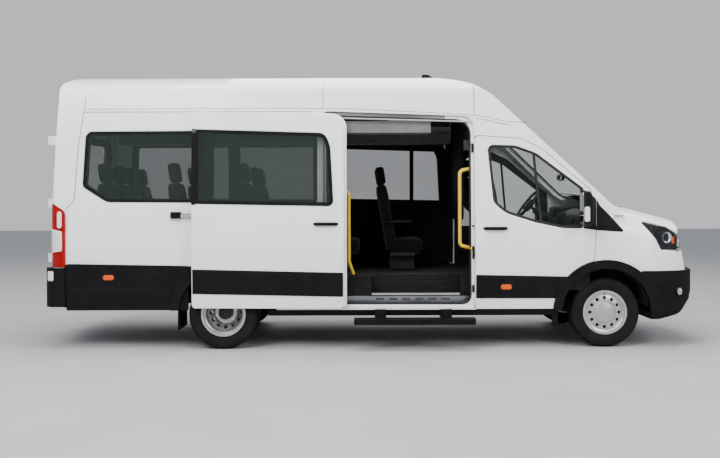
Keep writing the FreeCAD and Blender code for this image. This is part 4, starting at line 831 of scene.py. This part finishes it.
def lining_panel(x0, x1, low, high):
    """Soft-edged plate on the inner face of the right wall."""
    return panel(x0, x1, low, high, 9, corner=18, edge=8, base=0.0, surface=inner_wall)


def cabin_details():
    """Wall lining, headlining, window frames, door trims, bulkhead and shelf of the cab."""
    walls = [lining_panel(-2940, -1640, 701, 1408), lining_panel(-1610, -480, 701, 1408),
             lining_panel(-1615, -1565, 1425, 2148), lining_panel(-2940, -480, 2152, 2225)]
    left_walls = walls + [lining_panel(-482, 1003, 701, 1396), lining_panel(-490, -420, 1390, 2148),
                          lining_panel(-470, 1003, 2150, 2225), lining_panel(944, 1003, 1380, 2160)]
    piece("right_wall_lining", walls, "inner_dark")
    piece("left_wall_lining", [mirror(part) for part in left_walls], "inner_dark")
    across = SECTION[SECTION[:, 1] > 2236]
    across = np.concatenate([across * (-1, 1), across[::-1]])
    slope = np.gradient(across, axis=0)
    inward = np.stack([slope[:, 1], -slope[:, 0]], -1) / np.linalg.norm(slope, axis=1)[:, None]
    under = across + inward * (WALL + 4)
    x = np.concatenate([np.linspace(-2990, 700, 24), np.linspace(720, 1000, 15)])[:, None]
    slope_z = 2556 + (1008 - x) * 0.6 - 0.0002 * under[:, 0] ** 2
    head = np.stack(np.broadcast_arrays(x, under[:, 0], np.minimum(under[:, 1], slope_z)), -1)
    piece("headlining", [grid(head)], "panel_grey")

    # Inner frames of the windows and the bar of the far window
    def inner_frame(outline, inset, wide=30):
        """Trim round a window: a band from inset inside its outline to wide outside it."""
        return strip(arcs(outline), [(-inset, -36), (-inset, 3), (5 - inset, 8), (wide, 8), (wide + 7, 0)],
                     surface=inner_wall)

    frames = [inner_frame(MIDDLE_WINDOW, 40), inner_frame(QUARTER_WINDOW, 40)]
    piece("window_frames", frames, "inner_dark", both=True)
    bar = line(upright(540, 1398, 2136), [(-24, -34), (-22, 2), (22, 2), (24, -34)], surface=inner_wall)
    piece("left_window_frame", [mirror(inner_frame(SLIDE_WINDOW, 66, 60)), mirror(bar)], "inner_dark")
    moved_frame = strip(arcs(SLIDE_WINDOW), [(-40, -36), (-40, 1), (-35, 4), (26, 4), (30, 0)], surface=inner_wall)
    door_trim = lining_panel(-400, 1000, 540, 1376)
    piece("sliding_window_frame", [shifted(part, SLIDE_MOVE) for part in (moved_frame, door_trim)], "inner_dark")
    rear_trim = panel(70, 850, 700, 1400, 9, corner=30, edge=8, base=0.0, surface=inner_rear)
    rear_frame = strip(arcs(REAR_WINDOW), [(-8, -36), (-8, 2), (-3, 6), (40, 6), (46, 0)], surface=inner_rear)
    side_pieces("rear_door_trim", [rear_trim, rear_frame], "inner_dark", "{}_rear_door_body", "left")
    side_pieces("door_window_frame", [inner_frame(DOOR_WINDOW, 8, 78)], "inner_dark")

    # Pillars, shelf and bulkhead of the cab
    piece("cab_pillar_linings", [lining_panel(1001, 1044, 701, 2170)], "inner_dark", both=True)
    piece("cab_shelf", [pillow((1272, 0, 2192), (520, 1700, 34), 0.2, 12, 40)], "inner_dark")
    y = np.linspace(-870, 870, 40)
    roof_z = np.minimum(np.interp(y, under[:, 0], under[:, 1]), 2550 - 0.0002 * y ** 2)
    rise = np.linspace(0, 1, 8)[:, None]
    board = np.stack(np.broadcast_arrays(1006.0, y, 2180 + (roof_z - 2180) * rise), -1)
    screen = pillow((1008, 305, 1720), (18, 1240, 960), 0.12, 12, 40)
    piece("cab_bulkhead", [grid(board), screen], "inner_dark")


def cab_details():
    """Door trims, instrument hood, vents, gear lever, inside mirror and the steering wheel's boss."""
    trim, post = lining_panel(1047, 2180, 560, 1150), lining_panel(1047, 1112, 1130, 2040)
    rest = panel(1180, 1700, 960, 1010, 44, corner=18, edge=14, base=4, surface=inner_wall)
    side_pieces("door_trim", [trim, rest, post], "inner_dark")
    hood = pillow((2225, 455, 1318), (230, 400, 130), 0.45, 16, 30)
    middle = pillow((2190, 60, 1150), (190, 250, 330), 0.3, 16, 30)
    vents = [pillow((2134, y0, 1238), (16, 130, 60), 0.25, 10, 24) for y0 in (-780, -420, 790)]
    piece("instrument_hood", [hood, middle], "inner_dark")
    piece("dash_vents", vents, "gloss_black")
    lever = tube([(2110, 130, 1120), (2030, 130, 1190), (1990, 130, 1250)], 9, 10)
    knob = pillow((1984, 130, 1262), (52, 52, 60), 0.8, 12, 18)
    piece("gear_lever", [lever, knob], "gloss_black")
    stalk = turned(pillow(MIRROR_STALK, (150, 96, 58), 0.45, 12, 24), MIRROR_STALK, STALK_LEAN, 2)
    piece("inside_mirror", [pillow((2118, 0, 1700), (34, 250, 74), 0.45, 12, 24), stalk], "black_plastic")
    piece("inside_mirror_glass", [pillow((2099, 0, 1700), (6, 232, 60), 0.4, 8, 24)], "mirror_glass")
    boss = pillow(STEERING_CENTRE + (14, 0, 0), (56, 170, 150), 0.55, 16, 26)
    boss = turned(boss, STEERING_CENTRE, STEERING_LEAN, 2)
    piece("steering_wheel_boss", [boss], "inner_dark", "steering_wheel_body")


cabin_details()
cab_details()


# Seats

# Places across the cabin of each passenger row's seats, from the front row backwards, and of the cab's seats
PASSENGER_ROWS = [(715, 272), (715, 272), (715, 272, -718), (715, 272, -718), (715, 272, -175, -718)]
CAB_ROW = (455, -265, -712)
FIRST_ROW, ROW_PITCH, CAB_X = 190, 700, 1215
SEAT_LEVEL, CAB_LIFT, BACK_LEAN = 880, 90, 0.16


def padding(face, across, crown, sink, seams, width, depth, draw):
    """Shape function of a crowned padding whose face, on one axis, has channels sewn across another axis.

    A bolster with a seam runs along each side, and the sides are drawn in by a share."""
    def shape(unit, points):
        """A parabola's crown, bell-shaped bolsters and channels on the face, and sides drawn in."""
        side, place = np.abs(unit[..., 1]), unit[..., across]
        front = np.clip(unit[..., face], 0, 1)
        lift = crown * (1 - place ** 2) * (1 - 0.6 * side ** 2) + 12 * np.exp(-((side - 0.78) / 0.13) ** 2)
        for seam in seams:
            lift = lift - depth * np.exp(-((place - seam) / width) ** 2) * (side < 0.72)
        lift = lift - 8 * np.exp(-((side - 0.66) / 0.03) ** 2) - sink
        points = points.copy()
        points[..., face] += lift * front
        points[..., 1] *= 1 - draw * (1 - np.abs(place)) * side
        return points

    return shape


CUSHION_SHAPE = padding(2, 0, crown=16, sink=14, seams=(-0.32, 0.28), width=0.035, depth=9, draw=0.035)
BACK_SHAPE = padding(0, 2, crown=12, sink=12, seams=(-0.45, 0.0, 0.45), width=0.03, depth=8, draw=0.04)


def seat_parts(x0, y0, low):
    """Cushion, back and head restraint of one seat; x0 is the corner between cushion and back."""
    cushion = pillow((x0 + 234, y0, low + 78), (380, 424, 156), 0.3, 26, 44, CUSHION_SHAPE)
    back = pillow((x0 + 85, y0, low + 385), (112, 424, 750), 0.3, 30, 44, BACK_SHAPE)
    rest = pillow((x0 + 96, y0, low + 862), (98, 250, 196), 0.4, 18, 28)
    return cushion, *(turned(part, (x0 + 85, y0, low), BACK_LEAN, 2) for part in (back, rest))


def seats():
    """Padded seats of both cabins, their pans and the passengers' arm rests."""
    places = [(FIRST_ROW - ROW_PITCH * index, y0, SEAT_LEVEL)
              for index, row in enumerate(PASSENGER_ROWS) for y0 in row]
    cab_places = [(CAB_X, y0, SEAT_LEVEL + CAB_LIFT) for y0 in CAB_ROW]
    for name, spots in (("passenger", places), ("cab", cab_places)):
        made = [seat_parts(*spot) for spot in spots]
        for index, part in enumerate(("cushions", "backs", "head_rests")):
            item = piece(f"{name}_seat_{part}", [one[index] for one in made], "seat_fabric",
                         stands_for=[f"{name}_seats"])
        pans = [pillow((x0 + 225, y0, low - 6), (370, 400, 26), 0.25, 10, 28) for x0, y0, low in spots]
        piece(f"{name}_seat_pans", pans, "dark_trim")
    arms = [tube(curve_through([(x0 + 30, y0 - 226, low + 330), (x0 + 130, y0 - 228, low + 342),
                                (x0 + 300, y0 - 226, low + 338)], 12), 16, 10) for x0, y0, low in places]
    piece("passenger_arm_rests", arms, "dark_trim")


seats()


# Nose, mirrors, rear corners and doorway

def bowl(centre, radius, deep, angle):
    """Lamp reflector: a parabola turned about its axis, with a rim, opening forwards and yawed by angle."""
    t = np.linspace(0, 1, 9)
    profile = np.c_[-deep * (1 - t ** 2), radius * t]
    profile = np.concatenate([profile, [(3, radius + 4), (3, radius + 9), (-4, radius + 10)]])
    return turned(lathe(profile, centre, 40, axis="x"), centre, angle)


def nose_details():
    """Headlamp insides, fog lamps, plate, bumper and bonnet lines and the windscreen's border."""
    side_back = arcs([(2680, 1228, 12), (2926, 1170, 60), (3036, 1096, 50), (3060, 1000, 20), (3058, 950, 15),
                      (2872, 972, 25), (2818, 1066, 60)])
    front_back = arcs([(-1000, 950, 0), (-1000, 1150, 0), (-760, 1102, 40), (-580, 1010, 30), (-606, 950, 20)])
    housing = [plate_on(side_back, on_side, -50), plate_on(front_back, on_nose, -52)]
    piece("headlamp_housings", housing, "gloss_black", both=True)
    bowls = [bowl((3108, -772, 1040), 54, 40, -0.35), bowl((3146, -668, 1016), 42, 32, -0.1),
             bowl((2934, -972, 1076), 46, 28, -1.25)]
    piece("headlamp_reflectors", bowls, "chrome", both=True)
    bulbs = [pillow(place, (size, size, size), 1.0, 10, 16)
             for place, size in (((3110, -775, 1040), 26), ((3148, -669, 1016), 22))]
    piece("headlamp_bulbs", bulbs, "white_lamp", both=True)
    turn_lens = panel(2988, 3026, 1010, 1086, -24, corner=14, edge=12, base=-44)
    piece("front_turn_lamps", [turn_lens], "amber_lamp", both=True)
    rim = strip(arcs([(2662, 1240, 12), (2930, 1178, 60), (3045, 1100, 60), (3068, 1000, 20), (3066, 940, 15),
                      (2863, 962, 25), (2810, 1068, 60)])[:-1], [(0, 3.2), (1.5, 3.4), (5, 0.5)])
    piece("headlamp_rims", [rim], "seam", both=True)

    cap = lathe([(-30, 0), (-30, 30), (-26, 36), (-26, 44)], (on_nose(-800, 500, 2)[0], -801, 500), 40, axis="x")
    piece("bumper_caps", [cap], "black_plastic", both=True)
    fog_lamp, fog_yaw = (3058, -943, 546), -1.04
    for name, finish, steps, profile in (
            ("fog_lamp_reflectors", "chrome", 40, [(2, 0), (3, 12), (8, 26), (12, 34)]),
            ("fog_lamp_glasses", "clear_lamp", 32, [(15, 0), (14, 20), (11, 36)]),
            ("fog_lamp_rings", "black_plastic", 40, [(8, 35), (13, 36), (15, 42), (10, 50), (-8, 54)])):
        piece(name, [turned(lathe(profile, fog_lamp, steps, axis="x"), fog_lamp, fog_yaw)], finish, both=True)

    plate_frame = panel(-272, 272, 438, 556, 12, corner=10, edge=3, surface=on_bumper)
    plate = panel(-260, 260, 446, 548, 13.5, corner=8, edge=1.5, base=11, surface=on_bumper)
    piece("front_plate_frame", [plate_frame], "black_plastic")
    piece("front_plate", [plate], "plate")
    y = np.linspace(-985, 985, 90)
    for name, finish, height, profile in (
            ("bumper_ridge", "black_plastic", 738, round_profile(22, 4, -1)),
            ("bumper_groove", "seam", 712, [(-4, 0.4), (-1.5, 0.7), (1.5, 0.7), (4, 0.4)])):
        piece(name, [line(np.c_[y, np.full(90, height)], profile, surface=on_bumper)], finish)
    pressings = [line(curve_through([(2640, y0), (2800, y0 * 0.96), (2960, y0 * 0.88), (3090, y0 * 0.76)]),
                      round_profile(30, 4.0, -1.2), surface=on_bonnet) for y0 in (-470, 470)]
    piece("bonnet_pressings", pressings, "paint", "bonnet_body")
    border = strip(arcs([(-880, 1462, 90), (880, 1462, 90), (800, 2180, 110), (-800, 2180, 110)]),
                   [(-46, 0.6), (-30, 0.8), (-2, 0.8), (3, 1.4), (8, 3.6), (12, 3.0)], surface=on_screen)
    piece("windscreen_border", [border], "gloss_black")


def wipers():
    """Wiper arms on their spindles, blades and the bonnet's washer jets."""
    blades, arms = [], []
    half = np.linspace(-290, 290, 24)
    for foot_y, tip_y in ((-610, -60), (60, 590)):
        spine = curve_through([on_screen(foot_y, 1432, 10), on_screen((foot_y + tip_y) / 2, 1474, 20),
                               on_screen(tip_y, 1510, 16)], 16)
        arms.append(tube(spine, np.linspace(9, 5, 16), 8))
        arms.append(lathe([(-14, 0), (-14, 18), (4, 16), (8, 9), (8, 0)], on_screen(foot_y, 1430, 0), 18, axis="z"))
        blades.append(tube(on_screen(tip_y - 60 + half, 1506 + half * 0.085, 9), 5.5, 8))
    piece("wiper_arms", arms, "black_plastic")
    piece("wiper_blades", blades, "rubber")
    jets = [pillow(on_bonnet(2655, y0, 4), (26, 18, 12), 0.6, 8, 14) for y0 in (-330, 330)]
    piece("washer_jets", jets, "rubber", "bonnet_body")


def mirror_details():
    """Mirror glasses, their frames and the turn lamps in their outer ends."""
    def behind(y, z, proud):
        """Points on the mirrors' upright back plane."""
        y, z, proud = spread(y, z, proud)
        return np.stack([MIRROR_BACK - proud, y, z], -1)

    beside = upright_plane(MIRROR_END)
    glasses = [panel(-1222, -1082, low, high, 2.5, corner=16, edge=2, surface=behind)
               for low, high in ((1318, 1518), (1208, 1306))]
    lamp = panel(2056, 2108, 1240, 1382, 3.5, corner=14, edge=5, surface=beside)
    seam = strip(arcs([(2060, 1200, 14), (2060, 1524, 20), (2106, 1524, 16), (2142, 1456, 30), (2142, 1246, 30),
                       (2106, 1200, 16)]), [(-1.5, 0.3), (1.5, 0.3)], surface=beside)
    side_pieces("mirror_glass", glasses, "mirror_glass")
    side_pieces("mirror_turn_lamp", [lamp], "white_lamp")
    side_pieces("mirror_seam", [seam], "seam")


def rear_corner_details():
    """Segments of the tail lamps, small lamps of the bumper and the roof's rear marker lamps."""
    clear = panel(24, 216, (938, 962), (1190, 1158), 8.0, corner=12, edge=3, base=5, surface=AROUND_BODY)
    pale = panel(168, 214, 1186, 1350, 8, corner=20, edge=3, base=5, surface=AROUND_BODY)
    piece("tail_lamp_clear_segments", [clear, pale], "white_lamp", both=True)
    lines = [line([(150, z), (180, z), (208, z)], [(-5, 8.4), (5, 8.4)], surface=AROUND_BODY)
             for z in (990, 1022, 1054, 1086, 1118)]
    piece("tail_lamp_lines", lines, "track_metal", both=True)
    edge = panel(214, 247, 806, (1366, 1340), 6.5, corner=4, edge=2, surface=AROUND_BODY)
    piece("tail_lamp_edges", [edge], "red_lamp", both=True)
    low_lamp = panel(120, 190, 672, 768, 7, corner=14, edge=5, surface=AROUND_BUMPER)
    piece("bumper_corner_lamps", [low_lamp], "white_lamp", both=True)
    points, quads = lathe([(-2, 20), (7, 19), (12, 12), (13, 0)], (0, 0, 0), 20, axis="x")
    marker = shifted((points * (-1, 1, 1), quads[:, ::-1]), on_rear(-700, 2530, 0))
    piece("rear_marker_lamps", [marker], "gloss_black", both=True)


def doorway_details():
    """Step nosing, scuff plate, inner flange, strikers, upper track, rail and lamp of the side doorway."""
    step_front = upright_plane(STEP_FACE)
    scuff = panel(-405, 1000, 430, 502, 2.5, corner=8, edge=1.5, base=0.2, surface=step_front)
    nosing = panel(32, 906, 510, 532, 6, corner=4, edge=2, base=0.2, surface=step_front)
    piece("step_nosings", [nosing], "track_metal")
    piece("step_scuff_plate", [scuff], "tread_metal")
    slots = [plate_on(arcs([(x0, 463, 9), (x0, 483, 9), (x0 + 86, 483, 9), (x0 + 86, 463, 9)]), step_front, 2.6,
                      edge=(0, 0.1, 0.1, 0.1)) for x0 in np.arange(70, 850, 130)]
    piece("step_scuff_slots", slots, "seam")

    # The flange inside the opening, its striker plates, and the flange along the open door's front edge
    def flange(rim, inner, deep=-49.0):
        """Sunk band between an outer and an inner open outline of as many points."""
        rim, inner = arcs(rim, False)[:, None], arcs(inner, False)[:, None]
        share = np.array([0.0, 0.05, 0.95, 1.0, 1.0])[None, :, None]
        spots = rim * (1 - share) + inner * share
        sunk = np.broadcast_to(np.array([-30.0, -25, -25, -28, deep]), spots.shape[:2])
        return grid(on_side(spots[..., 0], spots[..., 1], sunk))

    sides = flange([(760, 2287, 0), (1043, 2277, 110), (1043, 395, 45), (-443, 403, 35), (-443, 2200, 0)],
                   [(760, 2253, 0), (1012, 2247, 150), (1012, 426, 90), (-413, 430, 40), (-413, 2200, 0)])
    piece("doorway_flange", [sides], "paint")
    high = flange([(-443, 2200, 0), (-443, 2331, 40), (760, 2287, 0)],
                  [(-413, 2200, 0), (-413, 2292, 60), (760, 2250, 0)], -60)
    piece("upper_door_track", [high], "tread_metal")
    plates = [panel(1015, 1038, low, high, -21, corner=4, edge=2, base=-26)
              for low, high in ((546, 619), (873, 1001), (1186, 1206), (1921, 2009))]
    piece("doorway_strikers", plates, "gloss_black")
    edge_path = arcs([(1036, 428, 0), (1036, 2262, 110), (760, 2280, 0)], closed=False, steps=10)
    edge = line(edge_path, [(4, -40), (3, -24), (-26, -24), (-29, -28), (-29, -44)], move=SLIDE_MOVE)
    piece("sliding_door_flange", [edge], "paint")
    top_rail = [tube([(x, -952, 2262 - max(x + 300, 0) * 0.031) for x in np.linspace(-420, 1010, 30)], 9, 8)]
    piece("upper_door_rail", top_rail, "track_metal")
    piece("doorway_lamp", [pillow((259, -868, 2238), (110, 50, 22), 0.4, 10, 24)], "white_lamp")


nose_details()
wipers()
mirror_details()
rear_corner_details()
doorway_details()


# Camera, light and floor

def stage_set():
    """The photograph's camera, four soft lamps and a pale floor."""
    camera = bpy.data.cameras.new("camera")
    camera.sensor_fit = "HORIZONTAL"
    camera.sensor_width = 36
    camera.lens = FOCAL_PIXELS / FRAME_WIDTH * camera.sensor_width
    camera.shift_y = -(FRAME_HEIGHT / 2 - HORIZON_PIXEL) / FRAME_WIDTH
    item = bpy.data.objects.new("camera", camera)
    item.location = CAMERA_PLACE
    item.rotation_euler = (math.radians(90), ROLL, 0)
    bpy.context.scene.collection.objects.link(item)
    bpy.context.scene.camera = item

    world = bpy.data.worlds.new("studio")
    world.use_nodes = True
    background = world.node_tree.nodes["Background"].inputs
    background["Color"].default_value = (0.86, 0.89, 0.93, 1)
    background["Strength"].default_value = 0.75
    bpy.context.scene.world = world
    for name, place, power, size in (("key", (-4.5, -8.0, 7.4), 940, 5.0), ("fill", (6.5, -7.0, 5.4), 460, 4.0),
                                     ("back", (0.0, 9.0, 7.0), 420, 6.0), ("top", (0.0, -1.5, 9.0), 980, 7.0)):
        light = bpy.data.lights.new(name, "AREA")
        light.energy = power
        light.size = size
        lamp = bpy.data.objects.new(name, light)
        lamp.location = place
        direction = Vector((0, 0, 1.0)) - Vector(place)
        lamp.rotation_euler = direction.to_track_quat("-Z", "Y").to_euler()
        bpy.context.scene.collection.objects.link(lamp)

    reach = 40.0
    mesh = bpy.data.meshes.new("floor_sheet")
    corners = [(-reach, -reach, 0), (reach, -reach, 0), (reach, reach, 0), (-reach, reach, 0)]
    mesh.from_pydata(corners, [], [(0, 1, 2, 3)])
    sheet = bpy.data.objects.new("floor_sheet", mesh)
    sheet.data.materials.append(speckled("pale_floor", (0.365, 0.37, 0.38), (0.40, 0.405, 0.415), 1.5, (0.75, 0.85),
                                         grain=0.05))
    bpy.context.scene.collection.objects.link(sheet)


stage_set()
